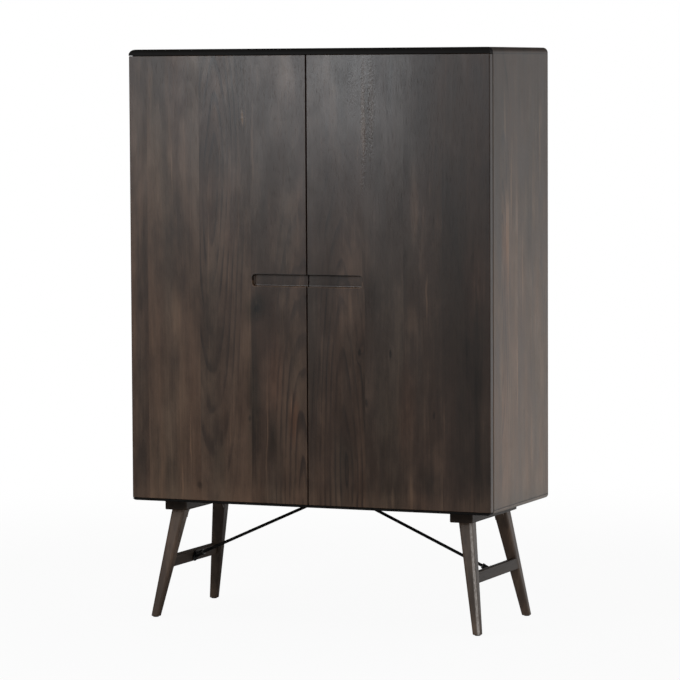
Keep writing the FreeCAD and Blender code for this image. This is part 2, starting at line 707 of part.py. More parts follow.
def fold_hinges():
    """The two hinges of the leaf and the one hinge of the bracket."""
    first = LEAF_X0 + LEAF_HINGE_INSET + LEAF_HINGE_LENGTH
    second = LEAF_X1 - LEAF_HINGE_INSET
    leaf = [placed_hinge(LEAF_HINGE_LENGTH, True, Vector(x, FOLD_Y, LEAF_AXIS_Z))
            for x in (first, second)]
    low = BRACKET_BOTTOM + (BRACKET_HEIGHT - BRACKET_HINGE_LENGTH) / 2
    bracket = placed_hinge(BRACKET_HINGE_LENGTH, False, Vector(BRACKET_X, FOLD_Y, low))
    return leaf, bracket


# ---- fold-out shelf --------------------------------------------------------
def magnet_place():
    x = (LEAF_X0 + LEAF_X1) / 2
    z = LEAF_AXIS_Z + HINGE_R + LEAF_DEPTH - MAGNET_FROM_EDGE
    return x, z


def make_leaf(hinges):
    """The leaf, stowed upright against the door."""
    z0 = LEAF_AXIS_Z + HINGE_R
    z1 = z0 + LEAF_DEPTH
    leaf = block(LEAF_X0, LEAF_X1, LEAF_FACE, LEAF_FACE + LEAF_T, z0, z1)
    leaf = soften(leaf, LEAF_ARRIS, lambda p, e: close(p.z, z1) or along(e, Z))
    x, z = magnet_place()
    strike = rod(Vector(x, LEAF_FACE - STRIKE_PROUD, z), Y, MAGNET_R, STRIKE_T)
    screws = [s for h in hinges for s in h["moving_screws"]]
    nodes["fold_shelf"] = minus(leaf, [strike] + screws)
    nodes["shelf_catch_strike"] = strike
    nodes["shelf_hinge_leaf_plates"] = Part.makeCompound(
        [minus(h["moving"], h["moving_screws"]) for h in hinges])
    nodes["shelf_hinge_leaf_screws"] = Part.makeCompound(screws)


def make_bracket(hinge):
    """The swing-out bracket that carries the leaf, stowed flat against the door."""
    x0 = BRACKET_X + HINGE_R
    x1 = x0 + BRACKET_REACH
    z_tip = BRACKET_TOP - BRACKET_TIP
    start = Vector(x1, LEAF_FACE, z_tip)
    end = Vector(x0 + BRACKET_FOOT, LEAF_FACE, BRACKET_BOTTOM)
    chord = start - end
    inward = Vector(-chord.z, 0, chord.x).normalize()
    middle = (start + end) / 2 + inward * BRACKET_BOW
    outline = Part.Wire([
        Part.makeLine(Vector(x0, LEAF_FACE, BRACKET_TOP), Vector(x1, LEAF_FACE, BRACKET_TOP)),
        Part.makeLine(Vector(x1, LEAF_FACE, BRACKET_TOP), start),
        Part.Arc(start, middle, end).toShape(),
        Part.makeLine(end, Vector(x0, LEAF_FACE, BRACKET_BOTTOM)),
        Part.makeLine(Vector(x0, LEAF_FACE, BRACKET_BOTTOM), Vector(x0, LEAF_FACE, BRACKET_TOP)),
    ])
    board = Part.Face(outline).extrude(Y * BRACKET_T)
    nodes["shelf_bracket"] = minus(board, hinge["moving_screws"])
    nodes["bracket_hinge_arm_plate"] = minus(hinge["moving"], hinge["moving_screws"])
    nodes["bracket_hinge_arm_screws"] = Part.makeCompound(hinge["moving_screws"])


# ---- doors with all that they carry ----------------------------------------
def make_doors(leaf_hinges, bracket_hinge, envelope):
    for name, s in SIDES:
        bushes = [pivot_bush(s, DOOR_Z1, -1), pivot_bush(s, DOOR_Z0, 1)]
        holes = [rod(pivot_point(s, DOOR_Z1), -Z, PIVOT_BUSH_R, BUSH_LENGTH),
                 rod(pivot_point(s, DOOR_Z0), Z, PIVOT_BUSH_R, BUSH_LENGTH)]
        strike_screw = catch_plate_screw(s)
        door = minus(make_door(s), holes + [strike_screw])
        if s < 0:
            door = minus(door, fold_hardware(leaf_hinges, bracket_hinge))
        nodes["door_" + name] = door
        nodes["pivot_bushes_" + name] = Part.makeCompound(bushes)
        plate = minus(catch_plate(s), [strike_screw])
        nodes["catch_plate_" + name] = Part.makeCompound([plate, strike_screw])
        nodes["felt_bumpers_" + name] = Part.makeCompound(bumpers(s))
        screws = pivot_screws(s, CEILING_Z, 1) + pivot_screws(s, BASE_HEIGHT, 1)
        nodes["pivot_plates_" + name] = Part.makeCompound(
            [minus(p, screws) for p in pivot_plates(s, envelope)])
    washers = []
    for name, s in SIDES:
        start = pivot_point(s, LIP_TOP)
        disc = rod(start, Z, PIVOT_BUSH_R, DOOR_PLAY - RUNNING)
        bore = rod(start, Z, PIVOT_PIN_R + PIN_PLAY, DOOR_PLAY)
        washers.append(disc.cut(bore))
    nodes["pivot_washers"] = Part.makeCompound(washers)


def fold_hardware(leaf_hinges, bracket_hinge):
    """Hinge plates, pins, magnet and screws on the left door; returns what is let into it."""
    hinges = leaf_hinges + [bracket_hinge]
    screws = [s for h in hinges for s in h["fixed_screws"]]
    nodes["shelf_hinge_door_plates"] = Part.makeCompound(
        [minus(h["fixed"], h["fixed_screws"]) for h in leaf_hinges])
    nodes["bracket_hinge_door_plate"] = minus(bracket_hinge["fixed"], bracket_hinge["fixed_screws"])
    nodes["fold_hinge_pins"] = Part.makeCompound([h["pin"] for h in hinges])
    nodes["fold_hinge_door_screws"] = Part.makeCompound(screws)
    x, z = magnet_place()
    start = Vector(x, DOOR_BACK + MAGNET_PROUD, z)
    magnet = rod(start, -Y, MAGNET_R, MAGNET_T)
    nodes["shelf_catch_magnet"] = magnet
    return screws + [magnet]


def pivot_cutters(envelope):
    """What the pivot plates and their screws take out of the boards."""
    found = []
    for name, s in SIDES:
        found += pivot_plates(s, envelope)
        found += pivot_screws(s, CEILING_Z, 1) + pivot_screws(s, BASE_HEIGHT, 1)
    return found


# ---- stand -----------------------------------------------------------------
def leg_centre(sx, sy, z):
    """Middle of a leg at a height: legs lean out both ways, in a straight line."""
    share = (RAIL_UNDER - z) / RAIL_UNDER
    return Vector(sx * (LEG_TOP_X + (FOOT_X - LEG_TOP_X) * share),
                  sy * (LEG_TOP_Y + (FOOT_Y - LEG_TOP_Y) * share), z)


def leg_width(z):
    return LEG_TOP_W + (FOOT_W - LEG_TOP_W) * (RAIL_UNDER - z) / RAIL_UNDER


def level_square(centre, width):
    """Corner points of a level square about a point, counter-clockwise."""
    half = width / 2
    return [centre + Vector(a * half, b * half, 0) for a, b in ((1, 1), (-1, 1), (-1, -1), (1, -1))]


def leg_taper(sx, sy):
    """The leaning, tapering shaft of a leg, with softened corners."""
    top = level_square(leg_centre(sx, sy, RAIL_UNDER), LEG_TOP_W)
    foot = level_square(leg_centre(sx, sy, GLIDE_T), leg_width(GLIDE_T))
    rings = [top, list(reversed(foot))]
    for i in range(4):
        j = (i + 1) % 4
        rings.append([foot[i], foot[j], top[j], top[i]])
    faces = [Part.Face(Part.makePolygon(ring + ring[:1])) for ring in rings]
    shaft = Part.Solid(Part.Shell(faces))
    shaft = soften(shaft, LEG_CORNER_R, lambda p, e: RAIL_UNDER - 1 > p.z > GLIDE_T + 1)
    return soften(shaft, FOOT_ARRIS, lambda p, e: close(p.z, GLIDE_T))


def leg_tenon(sx, sy):
    c = leg_centre(sx, sy, RAIL_UNDER)
    half = LEG_TENON_W / 2
    return block(c.x - half, c.x + half, c.y - half, c.y + half,
                 RAIL_UNDER - OVERLAP, RAIL_UNDER + LEG_TENON_H)


def leg_knee(sx, sy):
    """The concave block between the leg's inner face and the rail."""
    c = leg_centre(sx, sy, RAIL_UNDER)
    lean = (FOOT_Y - LEG_TOP_Y) / RAIL_UNDER
    inner = abs(c.y) - LEG_TOP_W / 2
    x0 = c.x - KNEE_WIDTH / 2
    top_in = Vector(x0, sy * (inner + KNEE_INTO_LEG), RAIL_UNDER)
    top_out = Vector(x0, sy * (inner - KNEE_R), RAIL_UNDER)
    low = Vector(x0, sy * (inner + KNEE_R * lean), RAIL_UNDER - KNEE_R)
    low_in = Vector(x0, sy * (inner + KNEE_R * lean + KNEE_INTO_LEG), RAIL_UNDER - KNEE_R)
    bend = KNEE_R * (1 - math.sqrt(0.5))
    middle = Vector(x0, sy * (inner - bend), RAIL_UNDER - bend)
    outline = Part.Wire([
        Part.makeLine(top_in, top_out),
        Part.Arc(top_out, middle, low).toShape(),
        Part.makeLine(low, low_in),
        Part.makeLine(low_in, top_in),
    ])
    return Part.Face(outline).extrude(X * KNEE_WIDTH)


def stretcher_angle():
    """Lean of a leg's outer face, which the stretcher follows."""
    run = (FOOT_X - LEG_TOP_X) - (LEG_TOP_W - FOOT_W) / 2
    return math.degrees(math.atan2(run, RAIL_UNDER))


def stretcher_frame(s):
    """Point at the middle of a stretcher's outer face, and its outward direction."""
    c = leg_centre(s, 1, STRETCHER_Z)
    reach = abs(c.x) + leg_width(STRETCHER_Z) / 2 - STRETCHER_INSET
    face = Vector(s * reach, 0, STRETCHER_Z)
    tilt = math.radians(stretcher_angle())
    out = Vector(s * math.cos(tilt), 0, math.sin(tilt))
    return face, out


def stretcher_bar(s, thickness, height, half_length):
    """A bar centred on the stretcher, leaning with the legs."""
    face, out = stretcher_frame(s)
    inset = (STRETCHER_T - thickness) / 2
    bar = block(face.x - s * inset, face.x - s * (inset + thickness), -half_length, half_length,
                STRETCHER_Z - height / 2, STRETCHER_Z + height / 2)
    bar.rotate(face, Y, -s * stretcher_angle())
    return bar


def glides():
    found = {}
    for sx in (-1, 1):
        for sy in (-1, 1):
            c = leg_centre(sx, sy, 0)
            disc = rod(Vector(c.x, c.y, 0), Z, GLIDE_R, GLIDE_T)
            disc = soften(disc, GLIDE_ARRIS, lambda p, e: close(p.z, 0) and e.Closed)
            stem = rod(Vector(c.x, c.y, GLIDE_T - OVERLAP), Z, GLIDE_STEM_R, GLIDE_STEM_H + OVERLAP)
            found[(sx, sy)] = joined([disc, stem])
    return found


def rail_screws():
    found = []
    for s in (-1, 1):
        for y in spread(-RAIL_LENGTH / 2 + RAIL_SCREW_IN, RAIL_LENGTH / 2 - RAIL_SCREW_IN, 3):
            head = Vector(s * RAIL_X, y, RAIL_UNDER)
            found.append(wood_screw(head, Z, RAIL_SCREW_LENGTH))
    return found


def make_stand(rail_fixings):
    """Base rails, legs, stretchers and glides."""
    pads = glides()
    for name, s in SIDES:
        half = RAIL_WIDTH / 2
        rail = block(s * RAIL_X - half, s * RAIL_X + half, -RAIL_LENGTH / 2, RAIL_LENGTH / 2,
                     RAIL_UNDER, BASE_HEIGHT)
        rail = soften(rail, RAIL_ARRIS, lambda p, e: not close(p.z, BASE_HEIGHT))
        tenons = [leg_tenon(s, -1), leg_tenon(s, 1)]
        nodes["base_rail_" + name] = minus(rail, tenons + rail_fixings)
        tapers = [leg_taper(s, -1), leg_taper(s, 1)]
        centre_y = leg_centre(s, 1, STRETCHER_Z).y
        bar = stretcher_bar(s, STRETCHER_T, STRETCHER_H, centre_y)
        bar = soften(bar, STRETCHER_ARRIS, lambda p, e: along(e, Y))
        bar = bar.cut(tapers)
        tenon = stretcher_bar(s, STRETCHER_TENON_T, STRETCHER_TENON_H, centre_y)
        flange_screws = socket_screws(s)
        nodes["stretcher_" + name] = minus(joined([bar, tenon]), flange_screws)
        for row, sy, taper in (("front", -1, tapers[0]), ("rear", 1, tapers[1])):
            leg = joined([taper, leg_tenon(s, sy), leg_knee(s, sy)])
            nodes["leg_%s_%s" % (row, name)] = minus(leg, [tenon, pads[(s, sy)]])
    nodes["foot_glides"] = Part.makeCompound(list(pads.values()))


# ---- iron braces -----------------------------------------------------------
def rod_ends(s):
    """A rod's axis, from the stretcher's inner face to the underside of the box."""
    face, out = stretcher_frame(s)
    low = face - out * STRETCHER_T
    high = Vector(s * ROD_TOP_X, 0, BASE_HEIGHT - PLATE_T)
    direction = high - low
    direction.normalize()
    return low, high, direction


def socket_screws(s):
    """Two screws that hold a socket's flange to the stretcher."""
    face, out = stretcher_frame(s)
    low = face - out * (STRETCHER_T + FLANGE_T)
    reach = FLANGE_R - WOOD_SCREW_HEAD_R - FLANGE_SCREW_MARGIN
    return [small_screw(low + Y * y, out, SMALL_SCREW_LENGTH) for y in (-reach, reach)]


def brace_socket(s):
    """Round flange on the stretcher with a slanted socket for the rod."""
    face, out = stretcher_frame(s)
    low, high, direction = rod_ends(s)
    flange = rod(low, -out, FLANGE_R, FLANGE_T)
    tube = rod(low - direction * OVERCUT, direction, SOCKET_R, SOCKET_LENGTH + OVERCUT)
    behind = rod(low + out * SOCKET_LENGTH, -out, SOCKET_LENGTH, SOCKET_LENGTH)
    tube = tube.cut(behind)
    bore = rod(low + direction * (SOCKET_LENGTH - ROD_IN_SOCKET), direction, ROD_R, SOCKET_LENGTH)
    return minus(joined([flange, tube]), [bore] + socket_screws(s))


def plate_screws():
    x = PLATE_LENGTH / 2 - PLATE_SCREW_IN
    y = PLATE_WIDTH / 2 - PLATE_SCREW_IN
    found = []
    for sx in (-1, 1):
        for sy in (-1, 1):
            head = Vector(sx * x, sy * y, BASE_HEIGHT - PLATE_T)
            found.append(wood_screw(head, Z, PLATE_SCREW_LENGTH))
    return found


def make_braces(fixings):
    """Two iron rods from the stretchers to a plate under the middle of the box."""
    half_x = PLATE_LENGTH / 2
    half_y = PLATE_WIDTH / 2
    plate = block(-half_x, half_x, -half_y, half_y, BASE_HEIGHT - PLATE_T, BASE_HEIGHT)
    plate = soften(plate, PLATE_CORNER_R, lambda p, e: along(e, Z))
    pieces = [plate]
    bores = []
    above = block(-HALF_W, HALF_W, -HALF_W, HALF_W, BASE_HEIGHT - PLATE_T, HEIGHT)
    for name, s in SIDES:
        low, high, direction = rod_ends(s)
        tube = rod(high - direction * SOCKET_LENGTH, direction, SOCKET_R, SOCKET_LENGTH * 2)
        pieces.append(tube.cut(above))
        start = low + direction * (SOCKET_LENGTH - ROD_IN_SOCKET)
        end = high - direction * (SOCKET_LENGTH - ROD_IN_SOCKET)
        bar = rod(start, direction, ROD_R, (end - start).Length)
        bores.append(bar)
        nodes["brace_rod_" + name] = bar
        nodes["brace_socket_" + name] = brace_socket(s)
    nodes["brace_centre_plate"] = minus(joined(pieces), bores + fixings)


# ---- assembly --------------------------------------------------------------
def build():
    pins = shelf_pins()
    pegs = dowels()
    panel_screws = back_screws()
    rail_fixings = rail_screws()
    plate_fixings = plate_screws()
    glass_screws = stem_screws()
    magnet_screws = catch_screws()
    envelope = box_envelope()
    cutters = (pins + pegs + panel_screws + rail_fixings + plate_fixings
               + glass_screws + magnet_screws + pivot_cutters(envelope))
    make_carcass(envelope, cutters)
    make_stem_rails(glass_screws)
    leaf_hinges, bracket_hinge = fold_hinges()
    make_doors(leaf_hinges, bracket_hinge, envelope)
    make_leaf(leaf_hinges)
    make_bracket(bracket_hinge)
    make_stand(rail_fixings)
    make_braces(plate_fixings)
    nodes["door_catches"] = Part.makeCompound(
        [minus(door_catch(s), magnet_screws) for s in (-1, 1)])
    socket_fixings = socket_screws(-1) + socket_screws(1)
    nodes["stand_screws"] = Part.makeCompound(rail_fixings + plate_fixings + socket_fixings)
    pivot_fixings = []
    for name, s in SIDES:
        pivot_fixings += pivot_screws(s, CEILING_Z, 1) + pivot_screws(s, BASE_HEIGHT, 1)
    nodes["door_hardware_screws"] = Part.makeCompound(pivot_fixings + magnet_screws)
    nodes["stemware_rail_screws"] = Part.makeCompound(glass_screws)
    nodes["shelf_pins"] = Part.makeCompound(pins)
    nodes["carcass_dowels"] = Part.makeCompound(pegs)
    nodes["back_panel_screws"] = Part.makeCompound(panel_screws)


build()
os.makedirs("parts", exist_ok=True)
for node_name, node_shape in nodes.items():
    node_shape.exportStep("parts/%s.step" % node_name)
print(len(nodes), "nodes,", sum(len(n.Solids) for n in nodes.values()), "solids")
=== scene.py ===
# %% [markdown]
# # A bar cabinet in dark stained wood
#
# The cabinet is a tall box on four splayed legs. Its two doors close over a bar: a counter, a bottle
# rack, rails for stemware, and a small shelf that folds down from the left door. Every board, hinge
# and screw is already in the frame as a solid, so this file gives them their finish, adds the small
# nuts and washers that the solids leave out, and lights the whole.

# %% Load the frame
import json
import math
import random
from typing import NamedTuple

import bmesh
import bpy
from mathutils import Matrix, Vector


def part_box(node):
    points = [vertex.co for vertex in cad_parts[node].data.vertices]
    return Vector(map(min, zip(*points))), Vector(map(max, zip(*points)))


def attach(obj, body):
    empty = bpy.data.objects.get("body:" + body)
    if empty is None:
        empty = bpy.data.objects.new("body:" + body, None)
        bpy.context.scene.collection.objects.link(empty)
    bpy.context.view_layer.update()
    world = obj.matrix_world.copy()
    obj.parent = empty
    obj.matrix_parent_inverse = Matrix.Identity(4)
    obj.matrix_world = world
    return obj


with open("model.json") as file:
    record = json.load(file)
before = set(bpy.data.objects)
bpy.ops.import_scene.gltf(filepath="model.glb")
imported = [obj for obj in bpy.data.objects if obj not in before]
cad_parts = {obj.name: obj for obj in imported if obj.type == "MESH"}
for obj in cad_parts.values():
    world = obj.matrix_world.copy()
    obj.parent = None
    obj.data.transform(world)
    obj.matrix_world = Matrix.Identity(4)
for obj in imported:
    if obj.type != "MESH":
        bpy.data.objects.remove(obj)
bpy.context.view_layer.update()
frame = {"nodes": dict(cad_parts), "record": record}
nodes = frame["nodes"]

# %% [markdown]
# ## The camera
#
# A long lens far away keeps the doors' edges nearly parallel, as in a furniture catalogue. The camera
# stands to the right, a little higher than the cabinet's middle, and looks slightly down. The alternative
# is a level camera whose frame is shifted down. At this distance both give nearly the same picture, and
# without a shift the cabinet stays in the middle of the frame from any other side as well.

# %% Place the camera
PICTURE_SIDE = 680
FOCAL_PIXELS = 3631.6
SENSOR_MM = 36.0
CAMERA_TURN = math.radians(22.918)
CAMERA_TILT = math.radians(-4.168)
CAMERA_ROLL = math.radians(-0.289)
CAMERA_DISTANCE = 9.4796
AIM = Vector((0.0005, 0.0, 0.7267))

turn = (Matrix.Rotation(CAMERA_TURN, 3, "Z")
        @ Matrix.Rotation(math.pi / 2 + CAMERA_TILT, 3, "X")
        @ Matrix.Rotation(CAMERA_ROLL, 3, "Z"))
camera_data = bpy.data.cameras.new("camera")
camera_data.sensor_width = SENSOR_MM
camera_data.lens = FOCAL_PIXELS / PICTURE_SIDE * SENSOR_MM
camera_data.clip_end = 100.0
camera = bpy.data.objects.new("camera", camera_data)
bpy.context.collection.objects.link(camera)
camera.matrix_world = Matrix.Translation(AIM + turn @ Vector((0, 0, CAMERA_DISTANCE))) @ turn.to_4x4()
bpy.context.scene.camera = camera
print("lens", round(camera_data.lens, 1), "mm, camera at", [round(v, 2) for v in camera.location])

# %% [markdown]
# ## Writing a finish as sums
#
# A finish is a small network of nodes. Built by hand in the editor it is hard to read back, so here one
# class wraps a node's output and gives it the signs + - * /. A line such as `0.4 + grain * 0.1` then adds
# the Math nodes that it needs. Every other kind of node comes from the one method `make`, which first
# sets the node's settings and then fills its sockets with numbers, colours or links.

# %% The socket wrapper
class Sock:
    """One output of a node, with arithmetic."""

    def __init__(self, tree, socket=None):
        self.tree = tree
        self.socket = socket

    def make(self, kind, settings=None, inputs=None, out=0):
        """Adds a node, sets it, fills its sockets, and hands back one of its outputs."""
        node = self.tree.nodes.new(kind)
        for key, value in (settings or {}).items():
            if key == "stops":
                self.fill_ramp(node.color_ramp, value)
            elif key == "ramp_interpolation":
                node.color_ramp.interpolation = value
            else:
                setattr(node, key, value)
        for key, value in (inputs or {}).items():
            if isinstance(value, Sock):
                self.tree.links.new(value.socket, node.inputs[key])
            else:
                node.inputs[key].default_value = value
        return Sock(self.tree, node.outputs[out])

    @staticmethod
    def fill_ramp(ramp, stops):
        """Gives a colour ramp its stops in place of its own."""
        while len(ramp.elements) > 1:
            ramp.elements.remove(ramp.elements[-1])
        for i, (place, colour) in enumerate(stops):
            element = ramp.elements[0] if i == 0 else ramp.elements.new(place)
            element.position = place
            element.color = tuple(colour) + (1.0,) * (4 - len(colour))

    def math(self, operation, *others):
        """Adds a Math node whose first value is this one."""
        inputs = dict(enumerate((self,) + others))
        return self.make("ShaderNodeMath", {"operation": operation}, inputs)

    def clamped(self, low, high):
        """Runs smoothly from 0 at low to 1 at high."""
        inputs = {"Value": self, "From Min": low, "From Max": high}
        return self.make("ShaderNodeMapRange", {"interpolation_type": "SMOOTHSTEP"}, inputs)

    def __add__(self, other):
        return self.math("ADD", other)

    def __radd__(self, other):
        return self.math("ADD", other)

    def __sub__(self, other):
        return self.math("SUBTRACT", other)

    def __rsub__(self, other):
        return (self * -1.0) + other

    def __mul__(self, other):
        return self.math("MULTIPLY", other)

    def __rmul__(self, other):
        return self.math("MULTIPLY", other)

    def __truediv__(self, other):
        return self.math("DIVIDE", other)


def mixed(factor, a, b, blend="MIX"):
    """One colour over another. Colours go in at sockets 6 and 7 of the node, and come out at 2."""
    start = next(s for s in (factor, a, b) if isinstance(s, Sock))
    settings = {"data_type": "RGBA", "blend_type": blend}
    return start.make("ShaderNodeMix", settings, {0: factor, 6: a, 7: b}, out=2)


def colour(r, g, b):
    """A colour given as a painter names it, 0 to 255, turned to light."""
    def to_light(value):
        value = value / 255
        return value / 12.92 if value <= 0.04045 else ((value + 0.055) / 1.055) ** 2.4
    return to_light(r), to_light(g), to_light(b), 1.0


def new_finish(name):
    """An empty material: the start of its tree, and its shader."""
    material = bpy.data.materials.new(name)
    material.use_nodes = True
    shader = material.node_tree.nodes["Principled BSDF"]
    return material, Sock(material.node_tree), shader


def feed(start, shader, **values):
    """Sets or links the shader's sockets; an underscore in a name stands for a space."""
    for key, value in values.items():
        socket = shader.inputs[key.replace("_", " ")]
        if isinstance(value, Sock):
            start.tree.links.new(value.socket, socket)
        else:
            socket.default_value = value


print("one grey in light:", [round(v, 3) for v in colour(128, 128, 128)])

# %% [markdown]
# ## Staves
#
# A wide board of solid wood is glued up from staves. Each stave comes from another part of the tree, so
# its tone and its grain differ from its neighbours'. A stave's grain is drawn as the growth rings
# of its own log, cut nearly lengthwise: rings round an axis that leans a little out of the board come
# out as long nested ovals. Where the middle of the ovals lies in the stave, it shows a cathedral. Where it
# lies outside, the lines run nearly straight.
#
# A colour ramp with hard steps works as a lookup table here. Its position is the place across the board,
# and the four channels of its colour hold four values of a stave. A second ramp holds how well each stave
# took the polish, because open grain stays duller than close grain. That one blends from stave to stave:
# the lacquer was laid over all of them at once, so its sheen has no edge where two of them meet.

# %% The stave table
STAVE_REACH = 0.25        # how far a ring centre may lie from its stave's middle, across
HEIGHT_REACH = 2.0        # the range of ring centres along the grain


class Stave(NamedTuple):
    """One stave of a board. Lengths are in metres, and the last three values run from 0 to 1."""

    width: float      # across the grain
    centre: float     # where its rings have their middle, across, from the middle of the stave
    height: float     # and along the grain
    tone: float       # from dark to pale
    warmth: float     # from grey to red
    polish: float     # from dull to glossy


def stave_stops(low, high, staves):
    """Two lists of stops, with the share of the way across: grain and tone, and polish."""
    grain, polish_stops = [], []
    edge = low
    for width, centre, height, tone, warmth, polish in staves:
        share = (edge - low) / (high - low)
        middle = edge + width / 2
        centre_share = (middle + centre - low + STAVE_REACH) / (high - low + 2 * STAVE_REACH)
        grain.append((share, (centre_share, height / HEIGHT_REACH, tone, warmth)))
        polish_stops.append((share, (polish, polish, polish)))
        edge += width
    return grain, polish_stops


def random_staves(low, high, width, seed):
    """Staves of about one width with grain of their own, for a board that no one looks at first."""
    rng = random.Random(seed)
    count = max(1, round((high - low) / width))
    made = []
    for _ in range(count):
        side = rng.choice((-1, 1))
        made.append(Stave(
            width=(high - low) / count, centre=side * rng.uniform(0.04, 0.2), height=rng.uniform(-0.2, 1.8),
            tone=rng.uniform(0.35, 0.65), warmth=rng.uniform(0.3, 0.7), polish=rng.uniform(0.3, 0.7)))
    return made


DOOR_STAVES = [
    Stave(0.048, 0.20, 0.60, 0.50, 0.78, 0.52),
    Stave(0.149, -0.16, 0.20, 0.57, 0.58, 0.46),
    Stave(0.145, -0.035, 1.12, 0.52, 0.60, 0.58),
    Stave(0.158, 0.060, 0.30, 0.43, 0.68, 0.64),
    Stave(0.157, 0.027, 0.42, 0.40, 0.56, 0.74),
    Stave(0.107, -0.15, 1.10, 0.38, 0.50, 0.87),
    Stave(0.106, 0.14, 0.55, 0.37, 0.62, 0.68),
    # The last stave is darker partly as painted shade, for the light falling off towards the right door's
    # outer edge.
    Stave(0.130, 0.18, 0.80, 0.28, 0.76, 0.40),
]
SIDE_STAVES = [
    Stave(0.082, 0.16, 0.90, 0.50, 0.38, 0.5),
    Stave(0.118, -0.06, 0.90, 0.56, 0.50, 0.45),
    Stave(0.105, 0.15, 1.20, 0.53, 0.38, 0.5),
    Stave(0.125, 0.10, 0.30, 0.55, 0.44, 0.45),
]
print(len(DOOR_STAVES), "staves across both doors,", len(SIDE_STAVES), "across a side")

# %% [markdown]
# ## Marks in the wood
#
# Some marks are seen from across the room: small dark knots, smoky patches where minerals coloured the
# wood, a few reddish flames, pale flecks, and strips where the open grain is pitted and gets a painted
# highlight. They could be painted on an image, but that would have to be unwrapped and kept beside the
# file. So each is listed as a soft oval, and a few ovals with the smoky tint are painted shade. The place
# is bent by a noise before the oval is measured, so no oval has an even edge.

# %% The marks
# An oval: its middle across and along the grain, its half width and half length, and its strength.
DOOR_MARKS = {
    "knot": [
        (-0.1405, 0.812, 0.008, 0.012, 0.8), (-0.165, 0.545, 0.005, 0.009, 0.8),
        (0.146, 0.717, 0.004, 0.010, 0.9), (0.232, 0.706, 0.004, 0.012, 1.0),
        (0.165, 0.578, 0.004, 0.012, 0.9), (0.348, 0.560, 0.003, 0.012, 0.8),
        (-0.306, 0.352, 0.008, 0.010, 0.7),
    ],
    "smoke_and_shade": [
        (-0.142, 0.815, 0.028, 0.036, 1.30), (-0.150, 0.560, 0.020, 0.170, 1.10),
        (-0.097, 0.500, 0.012, 0.060, 0.70), (0.108, 0.452, 0.036, 0.050, 0.65),
        (0.200, 0.560, 0.050, 0.120, 0.40), (-0.245, 0.420, 0.020, 0.060, 0.50),
        # The oval at 0.410 darkens the right door's outer part, partly as painted shade for the light
        # falling off there.
        (0.410, 0.880, 0.100, 0.360, 0.62), (-0.472, 0.640, 0.025, 0.160, 0.15),
        (0.290, 1.240, 0.040, 0.090, 0.40), (-0.250, 1.200, 0.060, 0.050, 0.30),
        (0.332, 0.390, 0.035, 0.045, 0.60), (-0.300, 0.880, 0.060, 0.050, 0.25),
        (0.170, 0.850, 0.050, 0.060, 0.40),
    ],
    "flame": [
        (-0.037, 0.535, 0.018, 0.070, 0.75), (-0.085, 0.640, 0.030, 0.120, 0.40),
        (0.270, 0.560, 0.030, 0.140, 0.45), (0.455, 0.900, 0.035, 0.140, 0.45),
    ],
    "fleck": [
        (-0.178, 1.303, 0.004, 0.022, 0.8), (-0.440, 1.400, 0.006, 0.080, 0.4),
        (-0.112, 0.480, 0.002, 0.200, 0.6), (-0.412, 0.430, 0.010, 0.110, 0.5),
        (0.330, 0.850, 0.002, 0.060, 0.7), (0.236, 0.340, 0.006, 0.030, 0.6),
        (-0.372, 0.800, 0.014, 0.080, 0.5), (-0.330, 0.470, 0.002, 0.070, 0.7),
        (-0.355, 0.360, 0.003, 0.060, 0.5), (0.120, 0.840, 0.004, 0.050, 0.4),
        (0.285, 0.350, 0.010, 0.040, 0.4), (-0.150, 1.240, 0.004, 0.120, 0.4),
        (0.285, 0.800, 0.028, 0.040, 0.3), (0.295, 1.090, 0.014, 0.100, 0.4),
        # The first oval here is a band across both doors that makes them paler along their lower edge.
        (0.000, 0.320, 0.700, 0.040, 0.3), (0.460, 0.340, 0.060, 0.060, 0.4),
    ],
    "pitted_and_highlit": [
        (-0.178, 1.300, 0.006, 0.022, 0.8), (0.158, 1.330, 0.006, 0.150, 1.1),
        (0.180, 1.350, 0.008, 0.120, 0.9), (0.130, 1.390, 0.014, 0.060, 0.5),
    ],
}
SIDE_MARKS = {
    "knot": [(0.030, 0.560, 0.003, 0.010, 0.6), (-0.090, 1.235, 0.003, 0.008, 0.6)],
    "smoke_and_shade": [
        (-0.160, 0.420, 0.050, 0.080, 0.25), (0.055, 1.080, 0.020, 0.160, 0.30),
        (0.120, 0.640, 0.030, 0.140, 0.25), (-0.190, 1.300, 0.030, 0.120, 0.20),
        # The last oval is a band along the side's bottom edge: painted shade.
        (0.0, 0.300, 1.000, 0.060, 0.85),
    ],
    "flame": [(-0.085, 1.300, 0.020, 0.120, 0.26), (-0.100, 0.960, 0.030, 0.160, 0.26)],
    "fleck": [
        (-0.108, 1.290, 0.007, 0.110, 0.9), (-0.090, 0.990, 0.012, 0.150, 1.0),
        (-0.062, 1.130, 0.004, 0.110, 0.8), (0.020, 0.900, 0.004, 0.120, 0.7),
        (-0.140, 0.700, 0.012, 0.090, 0.6), (0.090, 0.480, 0.016, 0.080, 0.5),
        (-0.020, 0.640, 0.003, 0.090, 0.8), (0.150, 1.230, 0.004, 0.120, 0.6),
    ],
    "pitted_and_highlit": [],
}
print(sum(len(ovals) for ovals in DOOR_MARKS.values()), "marks on the doors,",
      sum(len(ovals) for ovals in SIDE_MARKS.values()), "on a side")

# %% [markdown]
# ## The stained wood
#
# The stain is nearly black in the open pores and lets the brown through between them. Over it lies a thin
# satin lacquer. The finish is built in the order of the real one: growth rings and fibres first, then
# dark and pale streaks and the marks, then the pores, and last the lacquer. A small class keeps the
# board's axes and the place in its stave, so that every layer can ask it for a noise stretched along the
# grain, or for an oval or a line at a given place.

# %% A board's coordinates
OVAL_CORE = 0.35          # an oval is at its full strength up to this share of its half sizes
OVAL_EDGE = 1.35          # and gone at this one
LINE_CORE = 0.4           # the share of its half width up to which a scribed line's painted shade is at its full strength
RIM_CORE = 0.3            # and the same of the slot's painted highlight and shadow, and of a leg's corner line
